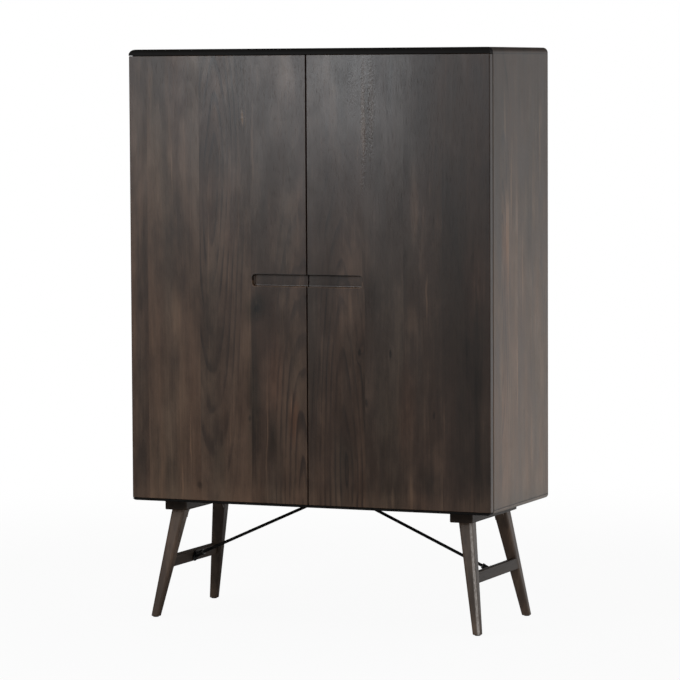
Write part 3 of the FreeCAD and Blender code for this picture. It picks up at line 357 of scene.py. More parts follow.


class Board:
    """The axes of one board, its staves, and noises that run with the grain."""

    def __init__(self, name, across, along, seed, face=0.0):
        self.material, self.start, self.shader = new_finish(name)
        place = self.start.make("ShaderNodeTexCoord", out="Object")
        axes = {axis: place.make("ShaderNodeSeparateXYZ", None, {0: place}, out=axis) for axis in "XYZ"}
        depth = next(axis for axis in "XYZ" if axis not in (across, along))
        self.u, self.w, self.d = axes[across], axes[along], axes[depth] - face
        self.seed = seed
        self.own = 0.0
        self.bend = 0.0
        self.spread = self.u.make("ShaderNodeCombineXYZ", None, {"X": self.u, "Y": self.w})

    def lay_staves(self, low, high, staves):
        """Looks up the stave at each place: the middle of its rings, its tone, warmth and polish."""
        grain, polish = stave_stops(low, high, staves)
        share = (self.u - low) / (high - low)
        settings = {"ramp_interpolation": "CONSTANT"}
        table = share.make("ShaderNodeValToRGB", {**settings, "stops": grain}, {"Fac": share})
        parts = [table.make("ShaderNodeSeparateColor", None, {0: table}, out=i) for i in range(3)]
        self.tone, self.warmth = parts[2], Sock(table.tree, table.socket.node.outputs["Alpha"])
        gloss = share.make("ShaderNodeValToRGB", {"stops": polish}, {"Fac": share})
        self.polish = gloss.make("ShaderNodeSeparateColor", None, {0: gloss})
        self.middle_u = parts[0] * (high - low + 2 * STAVE_REACH) + (low - STAVE_REACH)
        self.middle_w = parts[1] * HEIGHT_REACH
        self.own = parts[0] * 37.0 + self.tone * 11.0      # a number that differs from stave to stave

    def noise(self, scale_u, scale_w, detail=3.0, rough=0.55, shift=0.0):
        """A noise with its own scale across and along the grain, new in each stave."""
        point = self.u.make("ShaderNodeCombineXYZ", None, {
            "X": self.u * scale_u + self.own + (self.seed + shift), "Y": self.w * scale_w + self.own,
            "Z": self.d * scale_u + self.bend * scale_u})
        return point.make("ShaderNodeTexNoise", None, {
            "Vector": point, "Scale": 1.0, "Detail": detail, "Roughness": rough})

    def oval(self, u, w, half_u, half_w, strength, inner=OVAL_CORE, outer=OVAL_EDGE):
        """A soft oval mark."""
        away = self.spread.make("ShaderNodeVectorMath", {"operation": "SUBTRACT"}, {
            0: self.spread, 1: (u, w, 0.0)})
        away = away.make("ShaderNodeVectorMath", {"operation": "MULTIPLY"}, {
            0: away, 1: (1 / half_u, 1 / half_w, 0.0)})
        reach = away.make("ShaderNodeVectorMath", {"operation": "LENGTH"}, {0: away}, out="Value")
        return (1.0 - reach.clamped(inner, outer)) * strength

    def line(self, w, half_width):
        """A soft line across the grain."""
        return 1.0 - (self.w - w).math("ABSOLUTE").clamped(half_width * LINE_CORE, half_width)

    def rim(self, half_u, w, half_w, corner, half_width):
        """A soft line along the outline of a rounded slot about u = 0."""
        out_u = self.u.math("ABSOLUTE") - (half_u - corner)
        out_w = (self.w - w).math("ABSOLUTE") - (half_w - corner)
        past_u, past_w = out_u.math("MAXIMUM", 0.0), out_w.math("MAXIMUM", 0.0)
        away = ((past_u * past_u + past_w * past_w).math("SQRT")
                + out_u.math("MAXIMUM", out_w).math("MINIMUM", 0.0) - corner)
        return 1.0 - away.math("ABSOLUTE").clamped(half_width * RIM_CORE, half_width)

    def leaning_line(self, low, high, half_width):
        """A soft line from one point to another, each given across, along and in depth."""
        share = (self.w - low[1]) / (high[1] - low[1])
        off_u = self.u - share * (high[0] - low[0]) - low[0]
        off_d = self.d - share * (high[2] - low[2]) - low[2]
        away = (off_u * off_u + off_d * off_d).math("SQRT")
        return 1.0 - away.clamped(half_width * RIM_CORE, half_width)

    def ovals(self, marks, grow=1.0, **edge):
        """All marks of one kind."""
        total = 0.0
        for u, w, half_u, half_w, strength in marks:
            total = self.oval(u, w, half_u * grow, half_w * grow, strength, **edge) + total
        return total


print("an oval fades from", OVAL_CORE, "to", OVAL_EDGE, "of its half sizes")

# %% [markdown]
# ## Growth rings and fibres
#
# The grain is drawn before it has any colour. A ring's radius is measured from the middle that the stave
# table gives. A slow noise makes it wander, because no trunk is round, and a knot pushes the rings aside.
# Only the dark late wood is kept, and only near the middle, where a cathedral shows. The finer layers are
# noises stretched along the grain. Their third coordinate grows with the radius, so that streaks and
# fibres follow the cathedral instead of running straight through it.

# %% Rings and fibres
RING = 0.0125             # from one growth ring to the next
RING_SLOPE = 0.11         # how far a ring comes in per metre of height
LATE_WOOD = (0.45, 0.88)  # the shares of a ring at which the late wood begins, and is darkest
RINGS_FADE = (0.05, 0.12)     # how far from their middle the rings begin to fade, and are gone


def growth_rings(board, marks):
    """The late wood of the rings. From here on the board's marks sway and its noises bend with the rings."""
    wander = board.noise(3.2, 0.8, detail=2.0, rough=0.5, shift=3.0) - 0.5
    slow = board.noise(9.0, 1.6, rough=0.5, shift=8.0) - 0.5
    off_u = board.u - board.middle_u + wander * 0.05
    off_w = (board.w - board.middle_w) * RING_SLOPE + slow * 0.03
    radius = (off_u * off_u + off_w * off_w + board.d * board.d * 0.5).math("SQRT") + slow * 0.012
    if marks:
        sway = board.noise(30.0, 9.0, detail=2.0, rough=0.5, shift=31.0) - 0.5
        board.spread = board.spread.make("ShaderNodeCombineXYZ", None, {
            "X": board.u + sway * 0.016, "Y": board.w + slow * 0.06})
        radius = radius + board.ovals(marks["knot"], 4.0, inner=0.1, outer=1.0) * 0.012
    ring = (radius / RING + board.own).math("FRACT")
    late = ring.clamped(*LATE_WOOD) * (1.0 - ring.clamped(LATE_WOOD[1], 1.0))
    late = late * (1.0 - radius.clamped(*RINGS_FADE))
    late = late * board.noise(16.0, 5.0, rough=0.6, shift=41.0).clamped(0.34, 0.66)
    board.bend = radius * 0.6
    return late


def draw_fibres(board):
    """The noises that the board's layers share, from broad to fine."""
    board.broad = board.noise(8.0, 1.3, detail=2.0, rough=0.5, shift=1.0)
    board.cloud = board.noise(11.0, 4.0, detail=5.0, rough=0.62, shift=17.0)
    board.mineral = board.noise(21.0, 1.7, detail=4.0, rough=0.6, shift=14.0).clamped(0.56, 0.78)
    board.patch = board.noise(24.0, 10.0, shift=37.0)
    board.streak = board.noise(48.0, 2.4, shift=5.0)
    board.wisp = board.noise(80.0, 1.7, rough=0.6, shift=12.0).clamped(0.58, 0.78)
    board.fibre = board.noise(300.0, 5.0, rough=0.6, shift=9.0)
    board.pore = board.noise(900.0, 32.0, detail=2.0, rough=0.5, shift=2.0).clamped(0.60, 0.74)


print("a growth ring every", RING * 1000, "mm")

# %% [markdown]
# ## Pale and dark
#
# Two values are worked out for each place. The paleness picks the brown, and is a sum to which each layer
# adds or takes a little: the stave's own tone, slow clouds, streaks, the late wood, fibres, and painted
# highlights at the finger slot and in pitted grain. The second value darkens whatever brown came out: as
# stain in pores and mineral streaks and at knots, and as painted shade along scribed lines and the slot's
# upper edge. One value could do for both, but then a dark pore in pale wood would have the hue of dark wood.

# %% Paleness, stain and shade
SLOT_LIGHT_REACH = 0.0022         # how far the painted highlight and shadow reach on each side of the finger slot's edge
SLOT_LIGHT_TURN = 0.002         # how far over and under the slot's middle the painted highlight gives way to painted shadow
LINE_SHADE = 0.0020       # how far the painted shade reaches on each side of a scribed line
FOOT_PALE = (0.020, 0.036)    # a leg is paler up to the first height, and less up to the second


def paleness(board, late, marks, fade, worn_feet):
    """The value that picks the brown. fade makes it paler downwards, and worn_feet at a leg's end."""
    value = (board.tone * 0.7 + (board.broad - 0.5) * 0.34 + (board.cloud - 0.5) * 0.56
             + (board.patch - 0.5) * 0.24 + (board.streak - 0.5) * 0.20 + (board.fibre - 0.5) * 0.18
             + board.wisp * 0.14 - late * 0.26 + 0.20)
    if fade:
        value = value + (1.0 - board.w) * fade
    if worn_feet:
        value = value + (1.0 - board.w.clamped(*FOOT_PALE)) * worn_feet
    if marks:
        # Pitted grain is made paler too: a painted highlight where its open pores catch the light.
        value = value + board.ovals(marks["fleck"]) * 0.28 + board.ovals(marks["pitted_and_highlit"]) * 0.14
    return value


def stain_and_shade_of(board, shade, marks, lines):
    """What the brown is multiplied by."""
    stain_and_shade = shade - board.mineral * (0.30 * shade) - board.pore * (0.15 * shade)
    if marks:
        stain_and_shade = stain_and_shade - board.ovals(marks["knot"]) * 0.6
    for w in lines:
        # Painted shade along each scribed line.
        stain_and_shade = stain_and_shade - board.line(w, LINE_SHADE) * (0.6 * shade)
    return stain_and_shade


def slot_highlight_and_shadow(board, slot):
    """The finger slot's edges: a painted highlight along its lower half, and a painted shadow along its
    upper.
    """
    rim = board.rim(*slot, SLOT_LIGHT_REACH)
    over = board.w.clamped(slot[1] - SLOT_LIGHT_TURN, slot[1] + SLOT_LIGHT_TURN)
    return rim * (1.0 - over), rim * over


# The slot's edge carries a painted highlight below and a painted shadow above.
print("the finger slot is worn", SLOT_LIGHT_REACH * 1000, "mm round its edge")

# %% [markdown]
# ## The colour of the stain
#
# A ramp turns the paleness into a brown. The stain's hue then shifts towards red or towards grey in patches,
# as a stain does on wood that drinks it unevenly, and more strongly in flames, in smoky patches, and in the
# patches of painted shade that take the smoky tint. Each shift multiplies the brown by a tint instead of
# mixing a colour over it, so the grain under it still shows.

# %% Browns and tints
DARK = colour(31, 25, 22)
MIDDLE = colour(59, 46, 37)
LIGHT = colour(108, 86, 67)
BROWNS = [(0.12, DARK), (0.5, MIDDLE), (0.98, LIGHT)]
REDDER = (1.26, 0.97, 0.84, 1.0)
GREYER = (0.88, 0.98, 1.00, 1.0)
SMOKE_AND_SHADE_TINT = (0.52, 0.57, 0.55, 1.0)
FLAMED = (1.32, 0.96, 0.76, 1.0)
CORNER_HIGHLIGHT_REACH = 0.0052      # how far from its corner a leg gets its painted highlight and pale wear
CORNER_HIGHLIGHT_AND_BARE_WOOD = colour(190, 182, 175)    # the painted highlight and bare wood there


def tinted(base, tint, share):
    """The base colour, multiplied by a tint where share is 1 and left alone where it is 0."""
    return mixed(share, base, mixed(1.0, base, tint, "MULTIPLY"))


def brown_stain(board, value, stain_and_shade, marks):
    """The stain's colour, from paleness and shadow."""
    brown = board.start.make("ShaderNodeValToRGB", {"stops": BROWNS}, {"Fac": value})
    red_patches = board.noise(13.0, 1.5, rough=0.5, shift=21.0)
    brown = tinted(brown, REDDER, (red_patches * 0.9 + board.warmth * 0.5).clamped(0.50, 0.95) * 0.55)
    grey_share = (1.0 - board.warmth).clamped(0.30, 0.8) * 0.5 + board.mineral * 0.4
    brown = tinted(brown, GREYER, grey_share.math("MINIMUM", 1.0))
    if marks:
        smoke_and_shade = board.ovals(marks["smoke_and_shade"], inner=0.0, outer=1.5)
        flame = board.ovals(marks["flame"], inner=0.1, outer=1.3)
        brown = tinted(brown, SMOKE_AND_SHADE_TINT, smoke_and_shade.math("MINIMUM", 1.0))
        brown = tinted(brown, FLAMED, flame.math("MINIMUM", 1.0))
    grey_stain_and_shade = stain_and_shade.make("ShaderNodeCombineXYZ", None, {"X": stain_and_shade, "Y": stain_and_shade, "Z": stain_and_shade})
    return mixed(1.0, brown, grey_stain_and_shade, "MULTIPLY")


def paint_corner_highlight_and_wear(board, brown, corner):
    """Paints a highlight with pale wear along a leg's corner, stronger in some places than in others."""
    highlight_and_wear_speckle = board.noise(420.0, 110.0, detail=2.0, rough=0.6, shift=45.0).clamped(0.30, 0.62)
    return mixed(board.leaning_line(*corner, CORNER_HIGHLIGHT_REACH) * (highlight_and_wear_speckle * 0.6 + 0.3), brown, CORNER_HIGHLIGHT_AND_BARE_WOOD)


print("the palest brown in light:", [round(v, 3) for v in LIGHT[:3]])

# %% [markdown]
# ## The lacquer
#
# The lacquer is thin: it sinks into the pores, and the fibres still stand out under it. A bump gives that
# relief, because geometry would need faces finer than a tenth of a millimetre. The sheen is uneven, so the
# clouds of the stain reach into the roughness and into the strength of the clear coat. Where the grain is
# pitted, the relief is coarser and catches the light.

# %% Relief and sheen
THIN_COAT = 0.03          # the least clear coat anywhere


def lacquer(board, brown, marks, polish, specular):
    """Sets the board's colour, relief and sheen."""
    relief = (board.fibre - 0.5) * 0.4 + (board.streak - 0.5) * 0.2 - board.pore * 0.7
    rough = (0.50 - board.polish * (0.19 * polish) + (board.fibre - 0.5) * 0.12 + board.pore * 0.12
             + (board.cloud - 0.5) * 0.16)
    if marks:
        open_grain = board.ovals(marks["pitted_and_highlit"], grow=1.5)
        pits = board.noise(260.0, 130.0, detail=2.0, rough=0.6, shift=27.0)
        relief = relief + open_grain * (pits - 0.5) * 6.0
        rough = rough - open_grain * 0.05
    coat = board.polish - 0.45 + (board.cloud - 0.5) * 1.4 + (board.patch - 0.5) * 0.7
    coat = (coat * (0.80 * polish)).math("MAXIMUM", THIN_COAT)
    bump = board.start.make("ShaderNodeBump", None, {
        "Height": relief, "Strength": 0.20, "Distance": 0.0009})
    feed(board.start, board.shader, Base_Color=brown, Roughness=rough, Normal=bump,
         Specular_IOR_Level=specular, Coat_Roughness=0.26, Coat_Weight=coat)


print("clear coat nowhere under", THIN_COAT)

# %% [markdown]
# ## The doors
#
# The layers now come together in one function, which every board of the cabinet uses with other staves and
# another shade. Each door could have its own finish, but they are seen as one front. So they share one,
# laid out over the width of both, and one list of staves and one of marks serve them.

# %% The doors' finish
def stained_wood(name, across, along, low, high, staves, marks=None, shade=1.0, seed=0.0, polish=1.0,
                 specular=0.5, face=0.0, slot=None, lines=(), fade=0.0, worn_feet=0.0,
                 worn_corner=None):
    """A board's finish. across and along name the axes; low and high are the board's edges across."""
    board = Board(name, across, along, seed, face)
    board.lay_staves(low, high, staves)
    late = growth_rings(board, marks)
    draw_fibres(board)
    value = paleness(board, late, marks, fade, worn_feet)
    stain_and_shade = stain_and_shade_of(board, shade, marks, lines)
    if slot:
        # A painted highlight along the slot's lower edge, and a painted shadow along its upper.
        painted_highlight_edge, painted_shadow_edge = slot_highlight_and_shadow(board, slot)
        value = value + painted_highlight_edge * 0.20
        stain_and_shade = stain_and_shade - painted_shadow_edge * 0.55
    brown = brown_stain(board, value, stain_and_shade, marks)
    if worn_corner:
        brown = paint_corner_highlight_and_wear(board, brown, worn_corner)
    lacquer(board, brown, marks, polish, specular)
    return board.material


door_low, door_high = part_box("door_left")[0][0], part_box("door_right")[1][0]
FINGER_SLOT = (0.153, 0.8925, 0.0155, 0.009)     # half length, height, half height, corner radius
door_finish = stained_wood("door_boards", "X", "Z", door_low, door_high, DOOR_STAVES, DOOR_MARKS,
                           face=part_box("door_left")[0][1], slot=FINGER_SLOT, fade=0.09)
print("doors' finish has", len(door_finish.node_tree.nodes), "nodes")

# %% [markdown]
# ## The other boards
#
# The sides stand in line with the doors and are paler. The inside, the back and the stand take the same
# stain, each with the grain along its own length, and the rails are darker as painted shade. They could
# all share one material, but on some of them the grain would then run across, so each kind of board has
# its own.

# %% Sides, inside, rails and stretchers
side_low, side_high = (corner[1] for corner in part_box("side_panel_right"))
SCRIBED_LINES = (1.4690, 0.3215)      # heights of the lines scribed into a side's face
side_finish = stained_wood("side_boards", "Y", "Z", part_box("door_left")[0][1], side_high,
                           SIDE_STAVES, SIDE_MARKS, shade=1.48, seed=40.0, polish=0.6,
                           face=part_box("side_panel_right")[1][0], lines=SCRIBED_LINES, fade=0.34)
shelf_finish = stained_wood("shelf_boards", "Y", "X", side_low, side_high,
                            random_staves(side_low, side_high, width=0.11, seed=9), seed=70.0)
back_low, back_high = (corner[0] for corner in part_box("back_panel"))
back_finish = stained_wood("back_veneer", "X", "Z", back_low, back_high,
                           random_staves(back_low, back_high, width=0.24, seed=12), seed=110.0)
lath_finish = stained_wood("laths", "Z", "X", 0.0, 1.5, random_staves(0.0, 1.5, width=0.123, seed=21),
                           seed=150.0)
# The stand's left half is of one stave and its right half of another.
STAND = (-0.5, 0.5, [Stave(0.5, 0.15, 0.2, 0.50, 0.24, 0.6), Stave(0.5, -0.15, 0.3, 0.47, 0.28, 0.6)])
# Painted shade: the rails' low shade is for the base rails' place under the cabinet; the stemware rails
# share it.
rail_finish = stained_wood("rails", "X", "Y", *STAND, shade=0.66, seed=190.0, polish=-0.2, specular=0.2)
stretcher_finish = stained_wood("stretchers", "X", "Y", *STAND, shade=0.95, seed=210.0, polish=-0.1,
                                specular=0.35)
print("a side is", round(side_high - side_low, 3), "m deep")

# %% [markdown]
# ## The legs
#
# The rear legs are lit and shaded copies of the stand's wood: the left one is darker, as painted shade
# under the cabinet, and the right one paler, as painted light. The outer corner of the right front leg
# carries a painted highlight and is rubbed pale as well. That could be a strip of another material, but
# neither has a sharp edge, so it is a soft line in the finish of that one leg. The two ends of the line are
# found in the leg's own mesh.

# %% Legs
CORNER_ENDS = (0.003, 0.280)      # heights over its lower end at which a leg's mesh has a ring of vertices
RING_SLACK = 0.002        # how far a vertex may be from such a height
HIGHLIGHT_INSET = 0.002        # how far in from the corner the line of painted highlight and wear runs


def outer_front_corner(name):
    """The lower and the upper end of a leg's outer front corner, each given across, along and in depth."""
    points = [vertex.co for vertex in nodes[name].data.vertices]
    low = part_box(name)[0]
    outwards = math.copysign(1.0, low[0])
    ends = []
    for height in CORNER_ENDS:
        ring = [p for p in points if abs(p.z - low[2] - height) < RING_SLACK]
        corner = max(ring, key=lambda p: outwards * p.x - p.y)
        ends.append((corner.x - outwards * HIGHLIGHT_INSET, corner.z, corner.y))
    return ends


def leg_wood(name, **looks):
    """The stand's wood with its grain upright."""
    return stained_wood(name, "X", "Z", *STAND, **looks)


worn_corner = outer_front_corner("leg_front_right")
LEG_FINISHES = {
    "leg_front_left": leg_wood("legs", shade=1.75, seed=230.0, polish=0.7, worn_feet=0.06),
    "leg_front_right": leg_wood("highlit_worn_leg", shade=1.75, seed=230.0, polish=0.7, worn_feet=0.06,
                                worn_corner=worn_corner),
    # Painted shade: this leg is darker for the cabinet's shadow over it.
    "leg_rear_left": leg_wood("rear_left_leg", shade=0.75, seed=250.0, polish=0.5, specular=0.45,
                              worn_feet=0.12),
    # Painted light: this leg is paler for the light that falls on it.
    "leg_rear_right": leg_wood("rear_right_leg", shade=1.9, seed=270.0, polish=0.4, specular=0.4,
                               worn_feet=0.04),
}
# The ends of the line of painted highlight and wear on the right front leg.
print("worn corner", [[round(v, 4) for v in end] for end in worn_corner])

# %% [markdown]
# ## The near-black laths
#
# The two laths that close the doors' frame are near-black, so that they read as one dark line over and
# under the doors. They need no stave table, because in so dark a colour only the fibres and a few clouds
# show.

# %% Near-black laths
def near_black_wood(name):
    """A dull near-black in which the fibres only just show."""
    board = Board(name, "Z", "X", 5.0)
    fibre = board.noise(300.0, 5.0, rough=0.6)
    cloud = board.noise(20.0, 3.0, rough=0.6, shift=4.0)
    tint = mixed(fibre * 0.6 + cloud * 0.4, colour(15, 14, 13), colour(31, 28, 26))
    bump = board.start.make("ShaderNodeBump", None, {"Height": fibre, "Strength": 0.2, "Distance": 0.0004})
    feed(board.start, board.shader, Base_Color=tint, Roughness=0.62 + (fibre - 0.5) * 0.2, Normal=bump,
         Specular_IOR_Level=0.12)
    return board.material


edge_finish = near_black_wood("near_black_edge")
print("the laths' finish has", len(edge_finish.node_tree.nodes), "nodes")

# %% The wooden nodes
# Each row is the start of some nodes' names, and their finish.
WOOD_NODES = [
    ("door_left", door_finish), ("door_right", door_finish),
    ("top_front_lath", edge_finish), ("bottom_front_lath", edge_finish),
    ("side_panel_", side_finish), ("lower_partition", side_finish),
    ("top_panel", shelf_finish), ("bottom_panel", shelf_finish),
    ("counter_shelf", shelf_finish), ("upper_shelf", shelf_finish),
    ("back_panel", back_finish), ("bottle_rail_", lath_finish),
    ("fold_shelf", lath_finish), ("shelf_bracket", lath_finish),
    ("stemware_rail_", rail_finish), ("base_rail_", rail_finish),
    ("stretcher_", stretcher_finish), *LEG_FINISHES.items(),
]


def paint(name, material):
    """Gives a frame node its finish."""
    for slot in nodes[name].material_slots:
        slot.material = material


painted = set()
for prefix, material in WOOD_NODES:
    for name in nodes:
        if name.startswith(prefix) and "screw" not in name:
            paint(name, material)
            painted.add(name)
print(len(painted), "wooden nodes have their finish")

# %% [markdown]
# ## Metals, felt and plastic
#
# Blackened iron is dark and mottled, with a dull shine. The small hinges are brass that has aged. Screws and
# catch plates are plated steel. Each metal is one base colour broken up by two scales of noise, because
# hand and polish leave both blotches and fine marks. Felt, plastic and the raw beech of the dowels have
# only one texture each, so they share a simpler function.

# %% Hardware finishes
def metal(name, base, spot, roughness, metallic=1.0, scale=60.0):
    """A metal with blotches and fine marks."""
    material, start, shader = new_finish(name)
    place = start.make("ShaderNodeTexCoord", out="Object")
    blotch = start.make("ShaderNodeTexNoise", None, {
        "Vector": place, "Scale": scale, "Detail": 4.0, "Roughness": 0.6})
    marks = start.make("ShaderNodeTexNoise", None, {
        "Vector": place, "Scale": scale * 14, "Detail": 2.0, "Roughness": 0.5})
    tint = mixed(blotch.clamped(0.35, 0.7), base, spot)
    bump = start.make("ShaderNodeBump", None, {"Height": marks, "Strength": 0.15, "Distance": 0.0002})
    gloss = roughness + (blotch - 0.5) * 0.3 + (marks - 0.5) * 0.15
    feed(start, shader, Base_Color=tint, Roughness=gloss, Metallic=metallic, Normal=bump)
    return material


def soft(name, base, spot, scale, roughness, height):
    """A dull material with one scale of texture: felt, moulded plastic or raw wood."""
    material, start, shader = new_finish(name)
    place = start.make("ShaderNodeTexCoord", out="Object")
    grain = start.make("ShaderNodeTexNoise", None, {
        "Vector": place, "Scale": scale, "Detail": 3.0, "Roughness": 0.7})
    bump = start.make("ShaderNodeBump", None, {"Height": grain, "Strength": 0.5, "Distance": height})
    feed(start, shader, Base_Color=mixed(grain, base, spot), Roughness=roughness, Normal=bump)
    return material


iron = metal("blackened_iron", colour(30, 29, 28), colour(46, 43, 41), 0.5, 0.7)
brass = metal("aged_brass", colour(138, 112, 68), colour(92, 72, 44), 0.38)
steel = metal("plated_steel", colour(168, 168, 166), colour(128, 128, 128), 0.32)
felt = soft("grey_felt", colour(52, 48, 46), colour(78, 72, 68), 2600.0, 0.95, 0.0006)
nylon = soft("black_nylon", colour(26, 26, 26), colour(38, 38, 38), 1800.0, 0.55, 0.0001)
beech = soft("beech_dowel", colour(186, 150, 108), colour(214, 182, 140), 900.0, 0.7, 0.0002)

SLOT_FINISHES = {
    "black_iron": iron, "aged_brass": brass, "plated_steel": steel,
    "felt": felt, "black_nylon": nylon, "beech_dowel": beech,
}
for entry in frame["record"]["subparts"]:
    finish = SLOT_FINISHES.get(entry["material_slot"])
    if finish:
        paint(entry["node"], finish)
        painted.add(entry["node"])
print(len(painted), "of", len(nodes), "nodes have their finish")

# %% [markdown]
# ## Lock nuts on the iron rods
#
# Each rod is screwed into a socket at both ends, and a thin hexagonal nut locks it there. The nut could be
# a cylinder of six sides, but a real one has a bore, and corners that were turned down to a shallow cone.
# So a hexagon and the bore's circle get the same number of points and are bridged into a flat ring. The
# ring is extruded to the nut's thickness, and its outer edges are bevelled. Under it lies a washer, which
# is a small rectangle spun round the rod's axis. Both are turned to the rod's direction in their meshes.

# %% The rods' axes
def rod_axis(name):
    """The middles of a rod's two end faces, the lower one first."""
    corners = [vertex.co for vertex in nodes[name].data.vertices]
    middle = sum(c.z for c in corners) / len(corners)
    ends = []
    for end in ([c for c in corners if c.z < middle], [c for c in corners if c.z > middle]):
        ends.append(sum(end, Vector()) / len(end))
    return ends


ROD_RADIUS = 0.004
ROD_IN_SOCKET = 0.014     # how deep a rod sits in a socket
print("left rod from", [round(v, 4) for v in rod_axis("brace_rod_left")[0]])

# %% Nuts and washers
def hexagon_nut(shape, flats, thick, bore):
    """A chamfered hexagonal nut round the Z axis, standing on z = 0."""
    corners = 6
    cuts = 3
    bmesh.ops.create_circle(shape, radius=flats / 2 / math.cos(math.pi / corners), segments=corners)
    bmesh.ops.subdivide_edges(shape, edges=shape.edges[:], cuts=cuts)
    outside = shape.edges[:]
    bmesh.ops.create_circle(shape, radius=bore, segments=corners * (cuts + 1))
    inside = [edge for edge in shape.edges if edge not in outside]
    bmesh.ops.bridge_loops(shape, edges=outside + inside)
    raised = bmesh.ops.extrude_face_region(shape, geom=shape.faces[:])["geom"]
    top = [item for item in raised if isinstance(item, bmesh.types.BMVert)]
    bmesh.ops.translate(shape, vec=(0, 0, thick), verts=top)
    # The rims are the sharp level edges of the outside.
    rims = [edge for edge in shape.edges
            if min(v.co.xy.length for v in edge.verts) > flats * 0.45 and edge.calc_face_angle(0.0) > 1.0
            and abs(edge.verts[0].co.z - edge.verts[1].co.z) < thick / 2]
    bmesh.ops.bevel(shape, geom=rims, offset=thick * 0.12, offset_type="OFFSET", affect="EDGES", segments=2,
                    profile=0.5, material=-1)


def washer(shape, radius, thick, bore):
    """A flat ring round the Z axis, standing on z = 0."""
    profile = [shape.verts.new(place) for place in (
        (bore, 0, 0), (radius, 0, 0), (radius, 0, thick), (bore, 0, thick))]
    edges = [shape.edges.new((profile[i], profile[(i + 1) % 4])) for i in range(4)]
    bmesh.ops.spin(shape, geom=edges + profile, cent=(0, 0, 0), axis=(0, 0, 1), angle=2 * math.pi,
                   steps=32, use_merge=True)


def small_piece(name, build, foot, way, material):
    """Builds a piece round the Z axis, turns it to a direction, and sets it on the cabinet."""
    shape = bmesh.new()
    build(shape)
    bmesh.ops.remove_doubles(shape, verts=shape.verts[:], dist=1e-6)
    bmesh.ops.recalc_face_normals(shape, faces=shape.faces[:])
    bmesh.ops.rotate(shape, verts=shape.verts[:], matrix=way.to_track_quat("Z", "Y").to_matrix())
    bmesh.ops.translate(shape, verts=shape.verts[:], vec=foot)
    mesh = bpy.data.meshes.new(name)
    shape.to_mesh(mesh)
    shape.free()
    mesh.materials.append(material)
    piece = bpy.data.objects.new(name, mesh)
    bpy.context.collection.objects.link(piece)
    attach(piece, "cabinet")


WASHER_RADIUS = 0.0074
WASHER_THICK = 0.0012
NUT_FLATS = 0.013         # across its flats, as a wrench takes it
NUT_THICK = 0.0045
for side in ("left", "right"):
    low, high = rod_axis("brace_rod_" + side)
    upwards = (high - low).normalized()
    for end, start, way in (("lower", low, upwards), ("upper", high, -upwards)):
        seat = start + way * ROD_IN_SOCKET
        small_piece("rod_washer_%s_%s" % (end, side),
                    lambda shape: washer(shape, WASHER_RADIUS, WASHER_THICK, ROD_RADIUS),
                    seat, way, iron)
        small_piece("rod_nut_%s_%s" % (end, side),
                    lambda shape: hexagon_nut(shape, NUT_FLATS, NUT_THICK, ROD_RADIUS),
                    seat + way * WASHER_THICK, way, steel)
print("4 nuts of", NUT_THICK * 1000, "mm and 4 washers")

# %% [markdown]
# ## The floor
#
# The background is plain white, and the floor is pale and keeps the cabinet's soft shadow. A shadow catcher
# could do that, but its picture would have to be laid over white in a second step. Here the floor glows
# where the camera sees it, a little less near the cabinet, so that its shadow shows. A mirrored ray sees
# another floor: white towards the wall behind and to the right, and dim in front, as in a dark room, so
# that the doors don't go pale from below.

# %% Floor
FLOOR_SIDE = 60.0
floor_mesh = bmesh.new()
bmesh.ops.create_grid(floor_mesh, x_segments=1, y_segments=1, size=FLOOR_SIDE / 2)
floor_data = bpy.data.meshes.new("floor")
floor_mesh.to_mesh(floor_data)
floor_mesh.free()
floor = bpy.data.objects.new("floor", floor_data)
bpy.context.collection.objects.link(floor)
print("floor", FLOOR_SIDE, "m across")

# %% The floor's finish
WHITE = (1.0, 1.0, 1.0, 1.0)
FLOOR_GREY = colour(231, 231, 231)
NEAR_GLOW = 0.93          # the share of plain white in the floor near the cabinet; far off it is all white
GLOW_GROWS = (1.2, 3.4)   # the distances from the cabinet between which it grows
ROOM_DIM = 0.05           # how bright the room in front is, next to the wall
TO_WALL = (0.8, 0.6)      # the way to the wall: to the right, and back
FLOOR_WALL = (0.2, 1.3)   # the distances that way between which the mirrored floor turns white


def towards_wall(right, back, reach):
    """0 before the first value of reach, and 1 from the second on, towards the wall."""
    return (right * TO_WALL[0] + back * TO_WALL[1]).clamped(*reach)


floor_finish, start, shader = new_finish("pale_floor")
feed(start, shader, Base_Color=FLOOR_GREY, Roughness=0.9, Specular_IOR_Level=0.1)
seen = start.make("ShaderNodeLightPath", out="Is Camera Ray")
mirrored = (start.make("ShaderNodeLightPath", out="Is Glossy Ray")
            + start.make("ShaderNodeLightPath", out="Is Transmission Ray"))
place = start.make("ShaderNodeTexCoord", out="Object")
floor_x, floor_y = (
    start.make("ShaderNodeSeparateXYZ", None, {0: place}, out=axis) for axis in "XY")
far_off = start.make("ShaderNodeVectorMath", {"operation": "LENGTH"}, {0: place}, out="Value")
far_off = far_off.clamped(*GLOW_GROWS)
strength = seen + mirrored * (ROOM_DIM + towards_wall(floor_x, floor_y, FLOOR_WALL) * (1.0 - ROOM_DIM))
glow = start.make("ShaderNodeEmission", None, {"Color": WHITE, "Strength": strength})
blend = start.make("ShaderNodeMixShader", None, {
    0: seen * (NEAR_GLOW + far_off * (1.0 - NEAR_GLOW)) + mirrored,
    1: Sock(start.tree, shader.outputs[0]), 2: glow})
output = start.tree.nodes["Material Output"]
start.tree.links.new(blend.socket, output.inputs["Surface"])
floor_data.materials.append(floor_finish)
print("the floor's finish has", len(start.tree.nodes), "nodes")

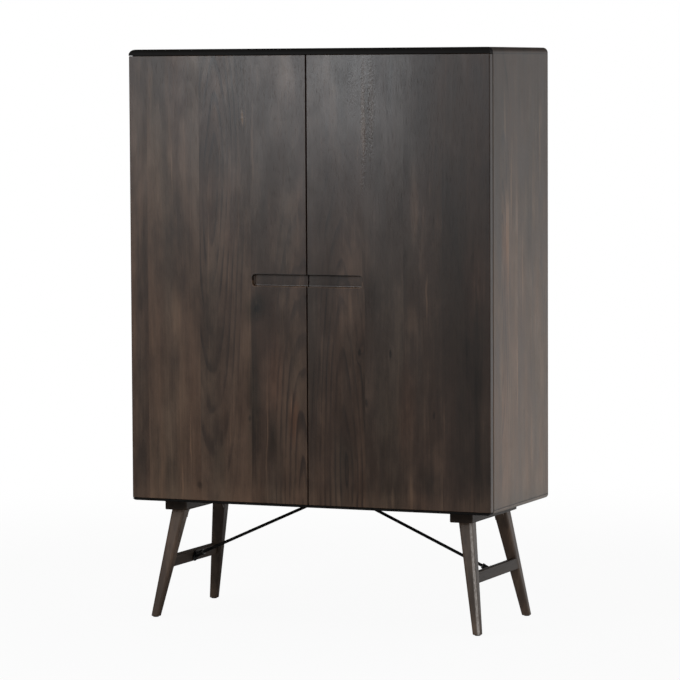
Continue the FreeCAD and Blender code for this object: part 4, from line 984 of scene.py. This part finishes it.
# %% [markdown]
# ## The room
#
# The wall behind is white, and shows in the lacquer of the side that is seen at a flat angle. The ceiling is
# dark, so the rounded front edge of the top stays dark. A room could be built from planes, but they
# would stand in the way of other cameras, so the room is drawn into the world's light by direction. Dull
# surfaces get one even light from it, and the camera itself sees plain white.

# %% World
WORLD_WALL = (-0.1, 0.5)      # how much of a direction must point to the wall for it to begin, and be white
CEILING = (-0.25, 0.38)       # how much must point up for the wall to begin to darken, and be ceiling
WALL_LIGHT = 1.2
CEILING_LIGHT = 0.05
DULL_LIGHT = 0.55         # what dull surfaces get from all sides

world = bpy.data.worlds.new("studio")
bpy.context.scene.world = world
world.use_nodes = True
start = Sock(world.node_tree)
background = world.node_tree.nodes["Background"]
direction = start.make("ShaderNodeTexCoord", out="Generated")
right, back, up = (
    start.make("ShaderNodeSeparateXYZ", None, {0: direction}, out=axis) for axis in "XYZ")
under_ceiling = 1.0 - up.clamped(*CEILING)
reflected = ((towards_wall(right, back, WORLD_WALL) * (1.0 - ROOM_DIM) + ROOM_DIM)
             * (under_ceiling * WALL_LIGHT + CEILING_LIGHT))
camera_ray = start.make("ShaderNodeLightPath", out="Is Camera Ray")
diffuse_ray = start.make("ShaderNodeLightPath", out="Is Diffuse Ray")
level = reflected * (1.0 - diffuse_ray) + diffuse_ray * DULL_LIGHT
level = level * (1.0 - camera_ray) + camera_ray
start.tree.links.new(level.socket, background.inputs["Strength"])
background.inputs["Color"].default_value = WHITE
print("the room's light has", len(start.tree.nodes), "nodes")

# %% [markdown]
# ## The lamps
#
# The light is that of a small studio: one large softbox at the front left, a little over the cabinet's top,
# so that its sheen lies on the doors' upper half and fades downwards. A weak one farther off to the right
# keeps the side from sinking into black. A sun or a bare point would give a small hard sheen instead.

# %% Lamps
def softbox(name, place, aim, side, watts, tint):
    """A large square soft lamp that faces a point."""
    data = bpy.data.lights.new(name, "AREA")
    data.shape = "SQUARE"
    data.size = side
    data.energy = watts
    data.color = tint
    lamp = bpy.data.objects.new(name, data)
    lamp.location = place
    lamp.rotation_euler = (Vector(aim) - Vector(place)).to_track_quat("-Z", "Y").to_euler()
    bpy.context.collection.objects.link(lamp)


softbox("key", place=(-1.08, -2.6, 1.85), aim=(-0.1, -0.2, 1.25), side=1.3, watts=26.0,
        tint=(0.89, 0.95, 1.0))
softbox("fill", place=(3.2, -3.4, 1.6), aim=(0.0, 0.0, 0.8), side=2.0, watts=5.0,
        tint=(1.0, 0.96, 0.92))

# %% [markdown]
# ## The last step
#
# Colours leave the picture as they were set, without a film's curve, so that white stays white.

# %% Finish
bpy.context.scene.view_settings.view_transform = "Standard"
